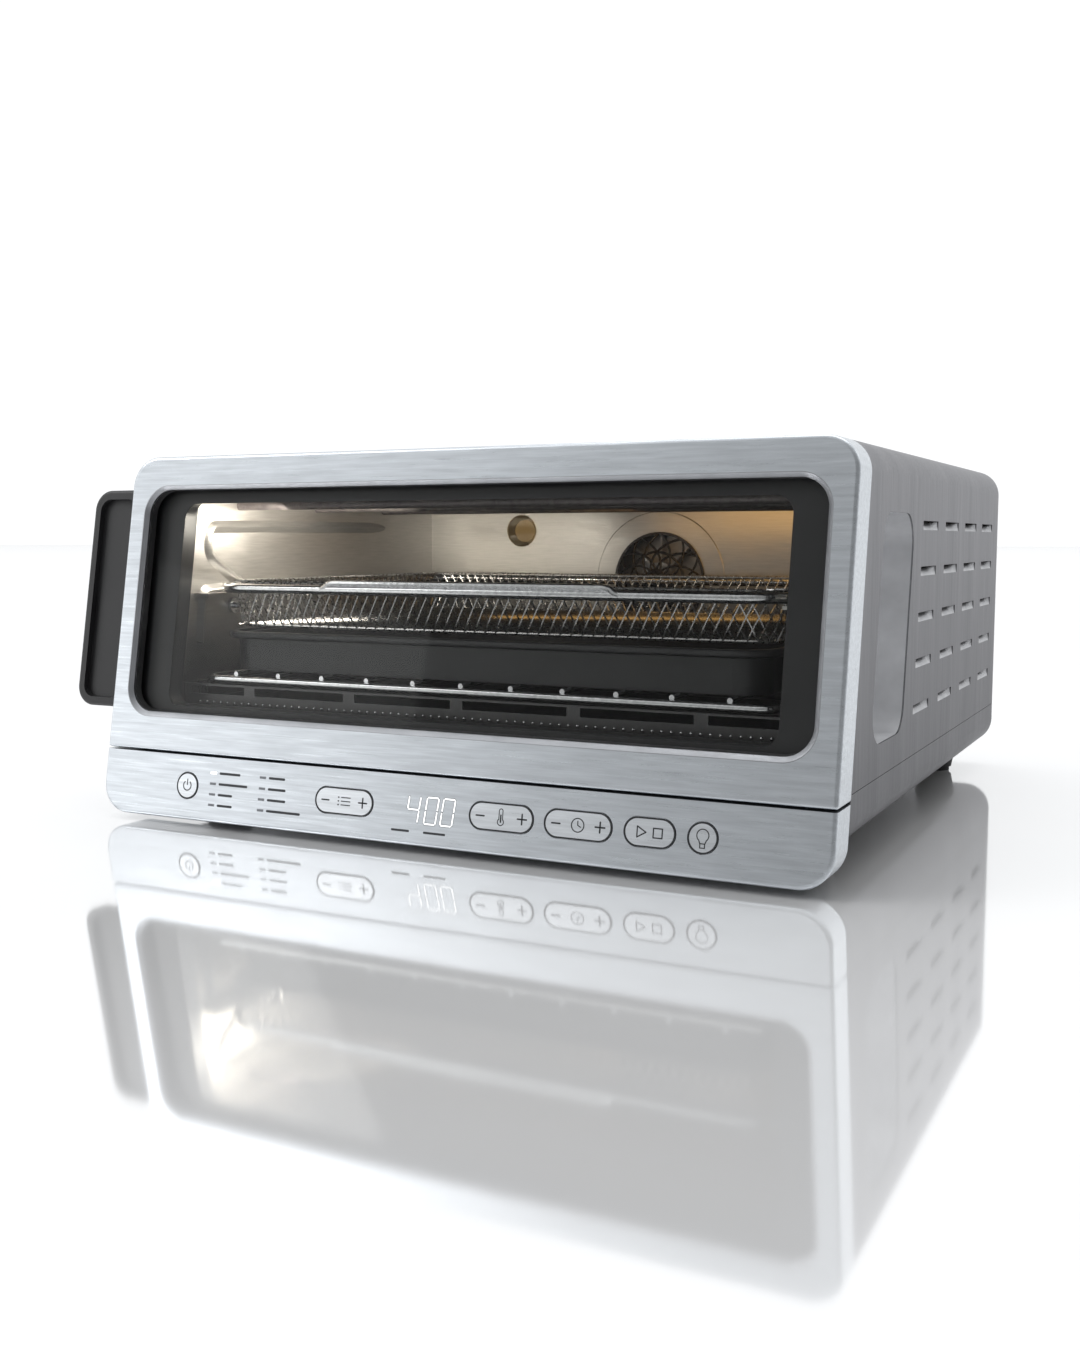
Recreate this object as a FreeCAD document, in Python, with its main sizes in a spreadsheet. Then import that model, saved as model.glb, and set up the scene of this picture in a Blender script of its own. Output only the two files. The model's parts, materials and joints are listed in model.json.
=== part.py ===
"""Countertop toaster oven with a leaning glass door, touch-sized keys and a side handle.

Case frame used by every length below: X to the right from the middle of the front, Y back
from the foot of the leaning front, Z up from the front's lower edge. The model's origin is
the middle of the overall box, on the surface that the feet stand on. All sizes are in mm.
"""
import FreeCAD, Part
import Sketcher
import os
import re

Vector = FreeCAD.Vector

SIZES = {
    # the leaning front: one plate line shared by the door and the control panel
    "front_half": 240.0,
    "front_top": 228.2,
    "front_depth": 25.0,
    "lean": 9.9,
    "skin": 1.2,
    "corner": 19.0,
    "edge_round": 2.4,
    "lower_round": 1.5,
    "door_low": 41.2,
    "seam_gap": 1.2,
    # window of the door
    "window_half": 227.8,
    "window_low": 62.1,
    "window_top": 209.8,
    "bezel": 3.0,
    "bezel_depth": 4.0,
    "glass_front": 8.6,
    "glass_thick": 4.0,
    "mouth_half": 206.0,
    "mouth_low": 68.5,
    "mouth_top": 200.0,
    # door hinge line
    "hinge_back": 3.2,
    "hinge_up": 3.4,
    "pin_radius": 1.0,
    "pin_clearance": 0.06,
    # handle on the door's left edge
    "handle_reach": 40.0,
    "handle_front": 8.5,
    "handle_back": 22.5,
    "handle_low": 65.0,
    "handle_top": 207.5,
    # case
    "case_half": 239.6,
    "case_low": 13.3,
    "case_back": 481.5,
    "panel_thick": 2.2,
    "case_seam": 44.4,
    "case_wall": 1.0,
    "frame_front": 26.2,
    "frame_thick": 2.0,
    "floor_gap": 4.2,
    "spacer": 8.0,
    # hand grip in each side
    "grip_front": 62.8,
    "grip_rear": 140.7,
    "grip_low": 63.0,
    "grip_top": 190.0,
    "grip_deep": 24.0,
    "grip_corner": 18.0,
    # side louvres
    "louvre_long": 46.0,
    "louvre_high": 5.6,
    "louvre_last": 410.0,
    "louvre_top": 183.4,
    "louvre_step": 27.8,
    "louvre_pitch": 70.9,
    "louvre_fan": 0.0513,
    # cooking cavity
    "cavity_half": 207.0,
    "cavity_low": 66.0,
    "cavity_top": 205.0,
    "cavity_back": 360.0,
    "liner": 1.2,
    "guide_deep": 12.0,
    "rack_level": 84.0,
    "rack_rod": 2.5,
    "rack_half": 196.0,
    "rack_front": 50.0,
    "rack_back": 350.0,
    "rack_bend": 12.0,
    "wire": 1.6,
    "wire_pitch": 33.7,
    "basket_level": 143.0,
    "basket_rod": 3.2,
    "basket_half": 196.5,
    "basket_front": 60.0,
    "basket_back": 340.0,
    "basket_low": 117.0,
    "basket_inset": 9.0,
    "basket_wall": 1.4,
    "basket_bend": 26.0,
    "pan_low": 89.4,
    "pan_level": 112.6,
    "pan_rod": 2.4,
    "pan_half": 188.0,
    "pan_front": 58.0,
    "pan_back": 342.0,
    "pan_bend": 22.0,
    "pan_inset": 4.0,
    "pan_wall": 0.8,
    # heating and air
    "heater_rod": 3.2,
    "heater_first": 105.0,
    "heater_step": 90.0,
    "heater_low": 75.5,
    "heater_high": 198.0,
    "fan_level": 146.0,
    "fan_radius": 46.0,
    "fan_hub": 11.0,
    "shaft_radius": 3.0,
    "lamp_side": -120.0,
    "lamp_level": 182.0,
    "lamp_radius": 13.0,
    # control panel, measured up the lean from the lower edge
    "key_rise": 21.7,
    "key_half": 7.9,
    "round_key": 8.3,
    "key_gap": 0.4,
    "key_proud": 0.3,
    "key_back": 3.2,
    "flange_front": 2.2,
    "flange_rim": 1.2,
    "stem_radius": 2.0,
    "stem_end": 7.0,
    "carrier_front": 4.2,
    "carrier_back": 7.2,
    "switch_front": 8.0,
    "board_front": 11.5,
    "board_thick": 1.6,
    "light_long": 4.8,
    "light_high": 1.5,
}


doc = FreeCAD.newDocument("toaster_oven")
sheet = doc.addObject("Spreadsheet::Sheet", "Sizes")
for row, (alias, number) in enumerate(SIZES.items(), start=1):
    sheet.set("A%d" % row, str(number))
    sheet.setAlias("A%d" % row, alias)
doc.recompute()

NODES = {}
NAME = re.compile(r"[a-z_]+")

LEAN = (Vector(-1, 0, 0), "lean")
LEANING_ROD = (Vector(-1, 0, 0), "90 + lean")
ALONG_X = (Vector(0, 1, 0), "90")
ALONG_Y = (Vector(-1, 0, 0), "90")
X_AXIS = Vector(1, 0, 0)
Y_AXIS = Vector(0, 1, 0)
Z_AXIS = Vector(0, 0, 1)

FOREMOST = "edge_round * ((1 + sin(lean)) / cos(lean) - 1)"
ORIGIN = (
    "handle_reach / 2",
    "-(case_back + panel_thick + spacer + %s) / 2" % FOREMOST,
    "floor_gap",
)
PANEL_TOP = "door_low - seam_gap"
HINGE_Z = "door_low + hinge_up"
HINGE_Y = "tan(lean) * (door_low + hinge_up) + hinge_back"


# ---------------------------------------------------------------- expressions and places

def bound(text):
    """The expression with each sheet alias written in full."""
    return NAME.sub(lambda word: "Sizes." + word[0] if word[0] in SIZES else word[0], str(text))


def value(text):
    """The expression's number, for tests and for selecting edges."""
    return float(sheet.evalExpression(bound(text)))


def place(item, x="0", y="0", z="0", turn=None):
    """Put an object at a point of the case frame, turned about an axis."""
    if turn:
        axis, angle = turn
        item.Placement = FreeCAD.Placement(Vector(), FreeCAD.Rotation(axis, value(angle)))
        item.setExpression("Placement.Rotation.Angle", bound(angle))
    for letter, start, shift in zip("xyz", ORIGIN, (x, y, z)):
        item.setExpression("Placement.Base." + letter, bound("%s + (%s)" % (start, shift)))
    return item


def leaned(x, deep, rise):
    """Case-frame point of a place on the front: across, inward and up the lean."""
    back = "(%s) * cos(lean) + (%s) * sin(lean)" % (deep, rise)
    up = "(%s) * cos(lean) - (%s) * sin(lean)" % (rise, deep)
    return x, back, up


def front_line(z, offset):
    """Y of the leaning front plane at height z, moved back by offset."""
    return "tan(lean) * (%s) + (%s)" % (z, offset)


def node(item, label):
    """Register a finished sub-part under the name of its file."""
    item.Label = label
    NODES[label] = item
    return item


# ---------------------------------------------------------------- bodies from sketches

def new_body(label, turn=None):
    item = doc.addObject("PartDesign::Body", label)
    return place(item, turn=turn)


def sketch(body, role, points, offset="0"):
    """Closed polygon on one of the body's origin planes; points are pairs of expressions."""
    item = body.newObject("Sketcher::SketchObject", body.Label + "_outline")
    planes = [plane for plane in body.Origin.OriginFeatures if plane.Role == role]
    item.AttachmentSupport = [(planes[0], "")]
    item.MapMode = "FlatFace"
    item.setExpression("AttachmentOffset.Base.z", bound(offset))
    numbers = [Vector(value(across), value(up), 0) for across, up in points]
    count = len(points)
    for index in range(count):
        item.addGeometry(Part.LineSegment(numbers[index], numbers[(index + 1) % count]))
    for index in range(count):
        item.addConstraint(Sketcher.Constraint("Coincident", index, 2, (index + 1) % count, 1))
    for index, (across, up) in enumerate(points):
        for kind, text, number in (("DistanceX", across, numbers[index].x),
                                   ("DistanceY", up, numbers[index].y)):
            rule = Sketcher.Constraint(kind, -1, 1, index, 1, number)
            place_in_list = item.addConstraint(rule)
            item.setExpression("Constraints[%d]" % place_in_list, bound(text))
    return item


def pad(body, profile, length, both_ways=False, backwards=False):
    item = body.newObject("PartDesign::Pad", body.Label + "_pad")
    item.Profile = profile
    item.setExpression("Length", bound(length))
    item.Midplane = both_ways
    item.Reversed = backwards
    doc.recompute()
    return item


def straight_edges(shape, axis, test):
    names = []
    for number, edge in enumerate(shape.Edges, start=1):
        if edge.Curve.TypeId != "Part::GeomLine":
            continue
        run = edge.Vertexes[-1].Point - edge.Vertexes[0].Point
        middle = (edge.Vertexes[-1].Point + edge.Vertexes[0].Point) * 0.5
        if abs(run.dot(axis)) > 0.999 * run.Length and test(middle):
            names.append("Edge%d" % number)
    return names


def plane_edges(shape, offset, test):
    """Edges that lie in the leaning plane at an offset behind the front."""
    slope = value("tan(lean)")
    names = []
    for number, edge in enumerate(shape.Edges, start=1):
        points = edge.discretize(5)
        gaps = [abs(point.y - slope * point.z - offset) for point in points]
        if max(gaps) < 1e-3 and test(points[2]):
            names.append("Edge%d" % number)
    return names


def dress(body, kind, size, names):
    """Fillet or chamfer on named edges of the body's latest feature."""
    if not names:
        raise RuntimeError(body.Label + ": no edge to dress")
    latest = body.Tip
    item = body.newObject("PartDesign::" + kind, body.Label + "_" + kind.lower())
    item.Base = (latest, names)
    item.setExpression("Radius" if kind == "Fillet" else "Size", bound(size))
    doc.recompute()
    if "Invalid" in item.State or not item.Shape.isValid():
        raise RuntimeError("%s: %s of %s failed" % (body.Label, kind, size))
    return item


def rectangle(left, right, low, top):
    return [(left, low), (right, low), (right, top), (left, top)]


def leaning_profile(low, top, front, back):
    """Side outline between two planes parallel to the front."""
    return [(front_line(low, front), low), (front_line(low, back), low),
            (front_line(top, back), top), (front_line(top, front), top)]


def leaning_slab(label, half, low, top, corner, front, back):
    """Plate parallel to the front: a rounded outline along Y, kept between two planes."""
    body = new_body(label + "_prism")
    outline = rectangle("-(%s)" % half, half, low, top)
    pad(body, sketch(body, "XZ_Plane", outline, "40"), "200", backwards=True)
    dress(body, "Fillet", corner, straight_edges(body.Tip.Shape, Y_AXIS, lambda point: True))
    layer = leaning_block(label + "_layer", ("-300", "300"),
                          ("(%s) * cos(lean)" % front, "(%s) * cos(lean)" % back),
                          ("-60", "300"))
    item = doc.addObject("Part::Common", label)
    item.Base = body
    item.Tool = layer
    return item


def leaning_ring(label, outside, inside, front, back):
    """Frame parallel to the front, between two outlines: half width, low, top and corner."""
    outer = leaning_slab(label + "_outside", *outside, front, back)
    inner = leaning_slab(label + "_inside", *inside, "(%s) - 5" % front, "(%s) + 5" % back)
    return cut(label, outer, [inner])


# ---------------------------------------------------------------- primitives and booleans

def block(label, across, deep, up):
    """Box between pairs of case-frame expressions."""
    item = doc.addObject("Part::Box", label)
    for side, (low, high) in zip(("Length", "Width", "Height"), (across, deep, up)):
        item.setExpression(side, bound("(%s) - (%s)" % (high, low)))
    return place(item, across[0], deep[0], up[0])


def leaning_block(label, across, deep, rise):
    """Box whose sides follow the front: across, inward and up the lean."""
    item = doc.addObject("Part::Box", label)
    for side, (low, high) in zip(("Length", "Width", "Height"), (across, deep, rise)):
        item.setExpression(side, bound("(%s) - (%s)" % (high, low)))
    return place(item, *leaned(across[0], deep[0], rise[0]), turn=LEAN)


def rod(label, radius, length, x, y, z, turn=None):
    item = doc.addObject("Part::Cylinder", label)
    item.setExpression("Radius", bound(radius))
    item.setExpression("Height", bound(length))
    return place(item, x, y, z, turn)


def leaning_rod(label, radius, x, rise, near, far):
    """Round bar square to the front, from one depth to another."""
    return rod(label, radius, "(%s) - (%s)" % (far, near), *leaned(x, near, rise),
               turn=LEANING_ROD)


def gather(kind, label, items):
    item = doc.addObject(kind, label)
    if kind == "Part::Compound":
        item.Links = items
    else:
        item.Shapes = items
    return item


def fused(label, items):
    return gather("Part::MultiFuse", label, items)


def separate(label, items):
    return gather("Part::Compound", label, items)


def cut(label, base, tools):
    item = doc.addObject("Part::Cut", label)
    item.Base = base
    item.Tool = tools[0] if len(tools) == 1 else fused(label + "_tools", tools)
    return item


def mirrored(label, source):
    """Mirror image across the case's middle plane."""
    item = doc.addObject("Part::Mirroring", label)
    item.Source = source
    item.Normal = X_AXIS
    item.setExpression("Base.x", bound(ORIGIN[0]))
    return item


def rod_loop(label, half, front, back, level, radius, bend):
    """Closed rectangular loop of round rod lying flat, with bent corners."""
    parts = []
    for y in (front, back):
        parts.append(rod(label + "_cross", radius, "2 * ((%s) - (%s))" % (half, bend),
                         "(%s) - (%s)" % (bend, half), y, level, ALONG_X))
    for side in ("-1", "1"):
        parts.append(rod(label + "_side", radius, "(%s) - (%s) - 2 * (%s)" % (back, front, bend),
                         "%s * (%s)" % (side, half), "(%s) + (%s)" % (front, bend), level,
                         ALONG_Y))
    corners = (("1", back, "-1", "0"), ("-1", back, "-1", "90"),
               ("-1", front, "1", "180"), ("1", front, "1", "270"))
    for side, end, inward, angle in corners:
        item = doc.addObject("Part::Torus", label + "_bend")
        item.setExpression("Radius1", bound(bend))
        item.setExpression("Radius2", bound(radius))
        item.Angle3 = 90
        place(item, "%s * ((%s) - (%s))" % (side, half, bend),
              "(%s) + %s * (%s)" % (end, inward, bend), level, (Z_AXIS, angle))
        parts.append(item)
    return fused(label, parts)


# ---------------------------------------------------------------- door

WINDOW = ("window_half", "window_low", "window_top", "corner")
WINDOW_CLEAR = ("window_half - bezel", "window_low + bezel", "window_top - bezel",
                "corner - bezel")
GLASS = ("231.5", "58.5", "213.5", "8")
MOUTH = ("mouth_half", "mouth_low", "mouth_top", "10")


def pan(label, low, top, closed):
    """Pressed pan open to the back: a leaning face with returns, corners rounded at one end."""
    outer = new_body(label + "_outside")
    profile = leaning_profile(low, top, "0", "front_depth")
    pad(outer, sketch(outer, "YZ_Plane", profile), "2 * front_half", both_ways=True)
    level = value(closed)
    dress(outer, "Fillet", "corner",
          straight_edges(outer.Tip.Shape, Y_AXIS, lambda point: abs(point.z - level) < 0.01))
    seam = value(low) + value(top) - level
    dress(outer, "Fillet", "edge_round",
          plane_edges(outer.Tip.Shape, 0, lambda point: abs(point.z - seam) > 0.01))
    inner = new_body(label + "_inside")
    profile = leaning_profile(low + " + skin", top + " - skin", "skin", "front_depth + 5")
    pad(inner, sketch(inner, "YZ_Plane", profile), "2 * (front_half - skin)", both_ways=True)
    level = value(closed + (" - skin" if closed == top else " + skin"))
    dress(inner, "Fillet", "corner - skin",
          straight_edges(inner.Tip.Shape, Y_AXIS, lambda point: abs(point.z - level) < 0.01))
    return outer, inner


def door_front_plate():
    """Steel pan: leaning face, returns on all four edges, window opening."""
    outer, inner = pan("door_pan", "door_low", "front_top", "front_top")
    low = value("door_low")
    dress(outer, "Fillet", "lower_round",
          plane_edges(outer.Tip.Shape, 0, lambda point: point.z < low + 0.01))
    window = leaning_slab("window_gap", *WINDOW, "-5", "skin + 5")
    tools = [inner, window]
    for side in ("-1", "1"):
        ends = sorted(("%s * (front_half - skin)" % side, "%s * 230.4" % side), key=value)
        tools.append(block("arm_slot", ends, (front_line("door_low", "skin + 0.4"),
                                              front_line("door_low", "front_depth + 1")),
                           ("door_low - 1", "door_low + skin + 0.01")))
    for height in HANDLE_SCREWS:
        tools.append(rod("handle_hole", "2", "3", "-front_half - 1",
                         front_line(height, "15.5"), height, ALONG_X))
    node(cut("door_front_plate", outer, tools), "door_front_plate")


HANDLE_SCREWS = ("82", "136", "190")


def window_bezel():
    """Bright rim of the window."""
    node(leaning_ring("bezel_ring", WINDOW, WINDOW_CLEAR, "0", "bezel_depth"), "window_bezel")


def glass_gasket():
    clear = ("window_half - bezel - 0.5", "window_low + bezel + 0.5",
             "window_top - bezel - 0.5", "corner - bezel - 0.5")
    node(leaning_ring("gasket_ring", GLASS, clear, "bezel_depth", "glass_front"),
         "glass_gasket")


def door_glass():
    node(leaning_slab("glass_pane", *GLASS, "glass_front", "glass_front + glass_thick"),
         "door_glass")


def door_liner():
    """Enamelled inner frame: holds the glass and closes against the case."""
    wall = leaning_ring("liner_wall", ("mouth_half + 2", "mouth_low - 2", "mouth_top + 2", "12"),
                        MOUTH, "glass_front + glass_thick", "front_depth - 2")
    edge = ("front_half - skin - 0.4", "door_low + 2", "front_top - skin - 0.4",
            "corner - skin - 0.4")
    flange = leaning_ring("liner_flange", edge, MOUTH, "front_depth - 2", "front_depth")
    whole = fused("liner_blank", [wall, flange])
    slots = []
    for side in ("-1", "1"):
        ends = sorted(("%s * 231" % side, "%s * front_half" % side), key=value)
        slots.append(block("arm_notch", ends, ("20", "60"), ("door_low", "door_low + 12")))
    node(cut("door_liner", whole, slots), "door_liner")


def door_handle():
    """Ear on the door's left edge: a slab parallel to the front with a scooped face."""
    body = new_body("handle_ear")
    reach = "-front_half - handle_reach"
    side = leaning_profile("handle_low", "handle_top", "handle_front", "handle_back")
    pad(body, sketch(body, "YZ_Plane", side, reach), "handle_reach")
    outer = value(reach)
    dress(body, "Fillet", "13",
          straight_edges(body.Tip.Shape, Y_AXIS, lambda point: abs(point.x - outer) < 0.01))
    root = value("-front_half") - 0.01
    for depth in ("handle_front", "handle_back"):
        dress(body, "Fillet", "2.5",
              plane_edges(body.Tip.Shape, value(depth), lambda point: point.x < root))
    tools = [rod("handle_pilot", "2", "11", "-front_half - 11", front_line(height, "15.5"),
                 height, ALONG_X) for height in HANDLE_SCREWS]
    scoop = new_body("handle_scoop")
    side = leaning_profile("handle_low + 6", "handle_top - 6", "handle_front - 5",
                           "handle_front + 4")
    pad(scoop, sketch(scoop, "YZ_Plane", side, reach + " + 6"), "handle_reach - 9")
    dress(scoop, "Fillet", "8",
          straight_edges(scoop.Tip.Shape, Y_AXIS, lambda point: True))
    node(cut("door_handle", body, tools + [scoop]), "door_handle")


def handle_screws():
    parts = []
    for height in HANDLE_SCREWS:
        y = front_line(height, "15.5")
        shank = rod("handle_shank", "2", "11 + skin", "-front_half - 11", y, height, ALONG_X)
        head = rod("handle_head", "3.6", "2.2", "-front_half + skin", y, height, ALONG_X)
        parts.append(fused("handle_screw", [shank, head]))
    return node(separate("handle_screws", parts), "handle_screws")


def hinge_leaves():
    """Plates inside the door's returns that turn on the hinge pins."""
    body = new_body("hinge_leaf_plate")
    side = leaning_profile("door_low + 1.8", "door_low + 20", "1.6", "13")
    pad(body, sketch(body, "YZ_Plane", side, "front_half - skin - 2.4"), "2.4")
    hole = rod("leaf_hole", "pin_radius + pin_clearance", "6", "front_half - 6", HINGE_Y,
               HINGE_Z, ALONG_X)
    right = cut("hinge_leaf_right", body, [hole])
    return node(separate("hinge_leaves", [right, mirrored("hinge_leaf_left", right)]),
                "hinge_leaves")


def hinge_brackets():
    """Arms on the case that carry the hinge pins."""
    body = new_body("hinge_arm")
    low = "door_low + hinge_up - 0.9"
    top = "door_low + hinge_up + 5"
    side = [(HINGE_Y, low), (front_line(low, "frame_front"), low),
            (front_line(top, "frame_front"), top), (HINGE_Y, top)]
    pad(body, sketch(body, "YZ_Plane", side, "232.6"), "2.8")
    nose = rod("hinge_nose", "1.65", "2.8", "232.6", HINGE_Y, HINGE_Z, ALONG_X)
    hole = rod("arm_hole", "pin_radius", "6", "231", HINGE_Y, HINGE_Z, ALONG_X)
    right = cut("hinge_arm_right", fused("hinge_arm_blank", [body, nose]), [hole])
    return node(separate("hinge_brackets", [right, mirrored("hinge_arm_left", right)]),
                "hinge_brackets")


def hinge_pins():
    right = rod("hinge_pin_right", "pin_radius", "front_half - skin - 0.3 - 232.6", "232.6",
                HINGE_Y, HINGE_Z, ALONG_X)
    return node(separate("hinge_pins", [right, mirrored("hinge_pin_left", right)]),
                "hinge_pins")


# ---------------------------------------------------------------- control panel

ROUND_KEYS = (("power_key", "-170.9"), ("light_key", "170.8"))
LONG_KEYS = (("start_stop_key", "141.2", "14.6"),)
ROCKERS = (("mode_rocker", "-52.6", "20.4"), ("temperature_rocker", "52.4", "20.2"),
           ("time_rocker", "99.5", "20.2"))
STEM_SHIFT = "13"
LIGHT_COLUMNS = ("-151", "-113.1")
LIGHT_ROWS = ("31", "24.3", "17.7", "11.1")
DISPLAY = (("-13", "25.5"), ("bezel_depth - 2.4", "board_front - 0.4"), ("11", "32"))


def pill(label, x, half, grow, near, far):
    """Flat bar with round ends, square to the front."""
    body = new_body(label, LEAN)
    rise = "key_half + (%s)" % grow
    reach = "(%s) + (%s)" % (half, grow)
    profile = rectangle("(%s) - (%s)" % (x, reach), "(%s) + (%s)" % (x, reach),
                        "key_rise - (%s)" % rise, "key_rise + (%s)" % rise)
    pad(body, sketch(body, "XZ_Plane", profile, "-(%s)" % near), "(%s) - (%s)" % (far, near),
        backwards=True)
    dress(body, "Fillet", "%s - 0.01" % rise,
          straight_edges(body.Tip.Shape, Y_AXIS, lambda point: True))
    return body


def key_shape(label, x, half, grow, near, far):
    if half is None:
        return leaning_rod(label, "round_key + (%s)" % grow, x, "key_rise", near, far)
    return pill(label, x, half, grow, near, far)


def key_layout():
    """Every key as name, place, half length and the places of its stems."""
    layout = [(name, x, None, (x,)) for name, x in ROUND_KEYS]
    layout += [(name, x, half, (x,)) for name, x, half in LONG_KEYS]
    layout += [(name, x, half, ("%s - %s" % (x, STEM_SHIFT), "%s + %s" % (x, STEM_SHIFT)))
               for name, x, half in ROCKERS]
    return layout


def keys():
    for name, x, half, stems in key_layout():
        parts = [key_shape(name + "_cap", x, half, "0", "-key_proud", "key_back"),
                 key_shape(name + "_flange", x, half, "flange_rim", "flange_front", "key_back")]
        parts += [leaning_rod(name + "_stem", "stem_radius", stem, "key_rise", "key_back",
                              "stem_end") for stem in stems]
        node(fused(name, parts), name)


def light_blocks(label, near, far, grow="0"):
    parts = []
    for column in LIGHT_COLUMNS:
        for row in LIGHT_ROWS:
            parts.append(leaning_block(
                label, ("%s - light_long / 2 - %s" % (column, grow),
                        "%s + light_long / 2 + %s" % (column, grow)), (near, far),
                ("%s - light_high / 2 - %s" % (row, grow),
                 "%s + light_high / 2 + %s" % (row, grow))))
    return parts


def control_panel_plate():
    """Steel pan below the door, pierced for the keys and the mode lights."""
    outer, inner = pan("panel_pan", "0", PANEL_TOP, "0")
    tools = [inner]
    tools += [key_shape(name + "_hole", x, half, "key_gap", "-3", "3")
              for name, x, half, stems in key_layout()]
    tools += light_blocks("light_slot", "-1", "3")
    node(cut("control_panel_plate", outer, tools), "control_panel_plate")


def control_carrier():
    """Moulding behind the panel: guides the key stems and holds the board on posts."""
    plate = leaning_block("carrier_plate", ("-205", "205"), ("carrier_front", "carrier_back"),
                          ("5.5", "36"))
    posts = [leaning_rod("carrier_post", "3", x, rise, "carrier_back", "board_front")
             for x in ("-196", "0", "196") for rise in ("8.5",)]
    posts += [leaning_rod("carrier_post", "3", x, rise, "carrier_back", "board_front")
              for x in ("-196", "196") for rise in ("33",)]
    tools = [leaning_rod("stem_hole", "stem_radius + 0.7", stem, "key_rise",
                         "carrier_front - 1", "carrier_back + 1")
             for name, x, half, stems in key_layout() for stem in stems]
    tools.append(leaning_block("display_gap", ("-13.3", "25.8"), ("0", "board_front"),
                               ("10.7", "32.3")))
    blank = fused("carrier_blank", [plate] + posts)
    return node(cut("control_carrier", blank, tools), "control_carrier")


def control_electronics():
    board = leaning_block("control_board", ("-203", "203"),
                          ("board_front", "board_front + board_thick"), ("6.5", "35"))
    node(board, "control_board")
    buttons = []
    for name, x, half, stems in key_layout():
        for stem in stems:
            buttons.append(leaning_block("tact_switch", ("%s - 3" % stem, "%s + 3" % stem),
                                         ("switch_front", "board_front"),
                                         ("key_rise - 3", "key_rise + 3")))
    node(separate("tact_switches", buttons), "tact_switches")
    node(leaning_block("display_module", *DISPLAY), "display_module")
    node(separate("mode_lights", light_blocks("light_pipe", "0", "carrier_front - 0.1")),
         "mode_lights")


def panel_back_cover():
    """Plastic plate that closes the control panel from behind."""
    edge = ("front_half - skin - 0.3", "skin + 0.3", PANEL_TOP + " - skin - 0.3",
            "corner - skin - 0.3")
    node(leaning_slab("back_plate", *edge, "front_depth - 2.2", "front_depth - 0.2"),
         "panel_back_cover")


# ---------------------------------------------------------------- case

def case_wrap(label, low, top, closed):
    """Bent sheet with two side walls and one closed long side, open front and back."""
    bodies = []
    for part, wall, rear in (("_outside", "0", "case_back"),
                             ("_inside", "case_wall", "case_back + 5")):
        body = new_body(label + part)
        reach = "5" if wall != "0" else "0"
        foot = "%s + %s" % (low, wall) if closed == low else "%s - %s" % (low, reach)
        head = "%s - %s" % (top, wall) if closed == top else "%s + %s" % (top, reach)
        front = "0" if wall != "0" else "frame_front"
        side = [(front_line(foot, front), foot), (rear, foot), (rear, head),
                (front_line(head, front), head)]
        pad(body, sketch(body, "YZ_Plane", side), "2 * (case_half - %s)" % wall, both_ways=True)
        level = value(head if closed == top else foot)
        dress(body, "Fillet", "corner - " + wall,
              straight_edges(body.Tip.Shape, Y_AXIS, lambda point: abs(point.z - level) < 0.01))
        bodies.append(body)
    return bodies


def louvre_slots(label):
    """Side vents: five rows of four, spread like a fan towards the front."""
    tools = []
    for row in range(5):
        level = "louvre_top - %d * louvre_step" % row
        for column in range(4):
            start = "louvre_last - %d * (louvre_pitch + louvre_fan * (louvre_top - (%s)))" % (
                column, level)
            tools.append(block(label, ("-case_half - 1", "case_half + 1"),
                               (start, "%s + louvre_long" % start),
                               ("%s - louvre_high / 2" % level, "%s + louvre_high / 2" % level)))
    return tools


def grip_slot(label, grow, near, far):
    """Leaning bar with rounded corners that fills the grip opening of the right side."""
    body = new_body(label)
    profile = leaning_profile("grip_low - %s" % grow, "grip_top + %s" % grow,
                              "grip_front - %s" % grow, "grip_rear + %s" % grow)
    pad(body, sketch(body, "YZ_Plane", profile, near), "(%s) - (%s)" % (far, near))
    dress(body, "Fillet", "grip_corner + %s" % grow,
          straight_edges(body.Tip.Shape, X_AXIS, lambda point: True))
    return body


def outer_cover():
    """Steel wrap over the top and both sides, with grip openings and louvres."""
    outer, inner = case_wrap("cover_wrap", "case_seam + 0.3", "front_top", "front_top")
    tools = [inner, grip_slot("grip_gap", "0", "-case_half - 5", "case_half + 5")]
    node(cut("outer_cover", outer, tools + louvre_slots("louvre")), "outer_cover")


def base_shell():
    """Lower steel wrap, with cooling slots in its floor."""
    outer, inner = case_wrap("base_wrap", "case_low", "case_seam", "case_low")
    tools = [inner]
    for row in range(4):
        for column in range(6):
            x = "-150 + %d * 60" % column
            y = "150 + %d * 60" % row
            tools.append(block("base_slot", ("%s - 18" % x, "%s + 18" % x),
                               ("%s - 2" % y, "%s + 2" % y), ("case_low - 1", "case_low + 3")))
    node(cut("base_shell", outer, tools), "base_shell")


REAR_SCREWS = (("-215", "215"), ("-215", "60"), ("215", "215"), ("215", "60"),
               ("0", "219"), ("0", "24"))


def rear_panel():
    """Flat back with vent slots, screw holes and the hole for the cord inlet."""
    body = new_body("rear_sheet")
    sheet_outline = rectangle("-case_half", "case_half", "case_low", "front_top")
    pad(body, sketch(body, "XZ_Plane", sheet_outline, "-case_back"), "panel_thick",
        backwards=True)
    dress(body, "Fillet", "corner",
          straight_edges(body.Tip.Shape, Y_AXIS, lambda point: True))
    tools = []
    for row in range(6):
        for column in range(5):
            x = "-128 + %d * 64" % column
            z = "96 + %d * 18" % row
            tools.append(block("rear_slot", ("%s - 22" % x, "%s + 22" % x),
                               ("case_back - 1", "case_back + 5"), ("%s - 2.5" % z,
                                                                    "%s + 2.5" % z)))
    for x, z in REAR_SCREWS:
        tools.append(rod("rear_hole", "1.9", "10", x, "case_back - 2", z, ALONG_Y))
    tools.append(rod("inlet_hole", "8", "10", CORD_X, "case_back - 2", CORD_Z, ALONG_Y))
    return node(cut("rear_panel", body, tools), "rear_panel")


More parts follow.
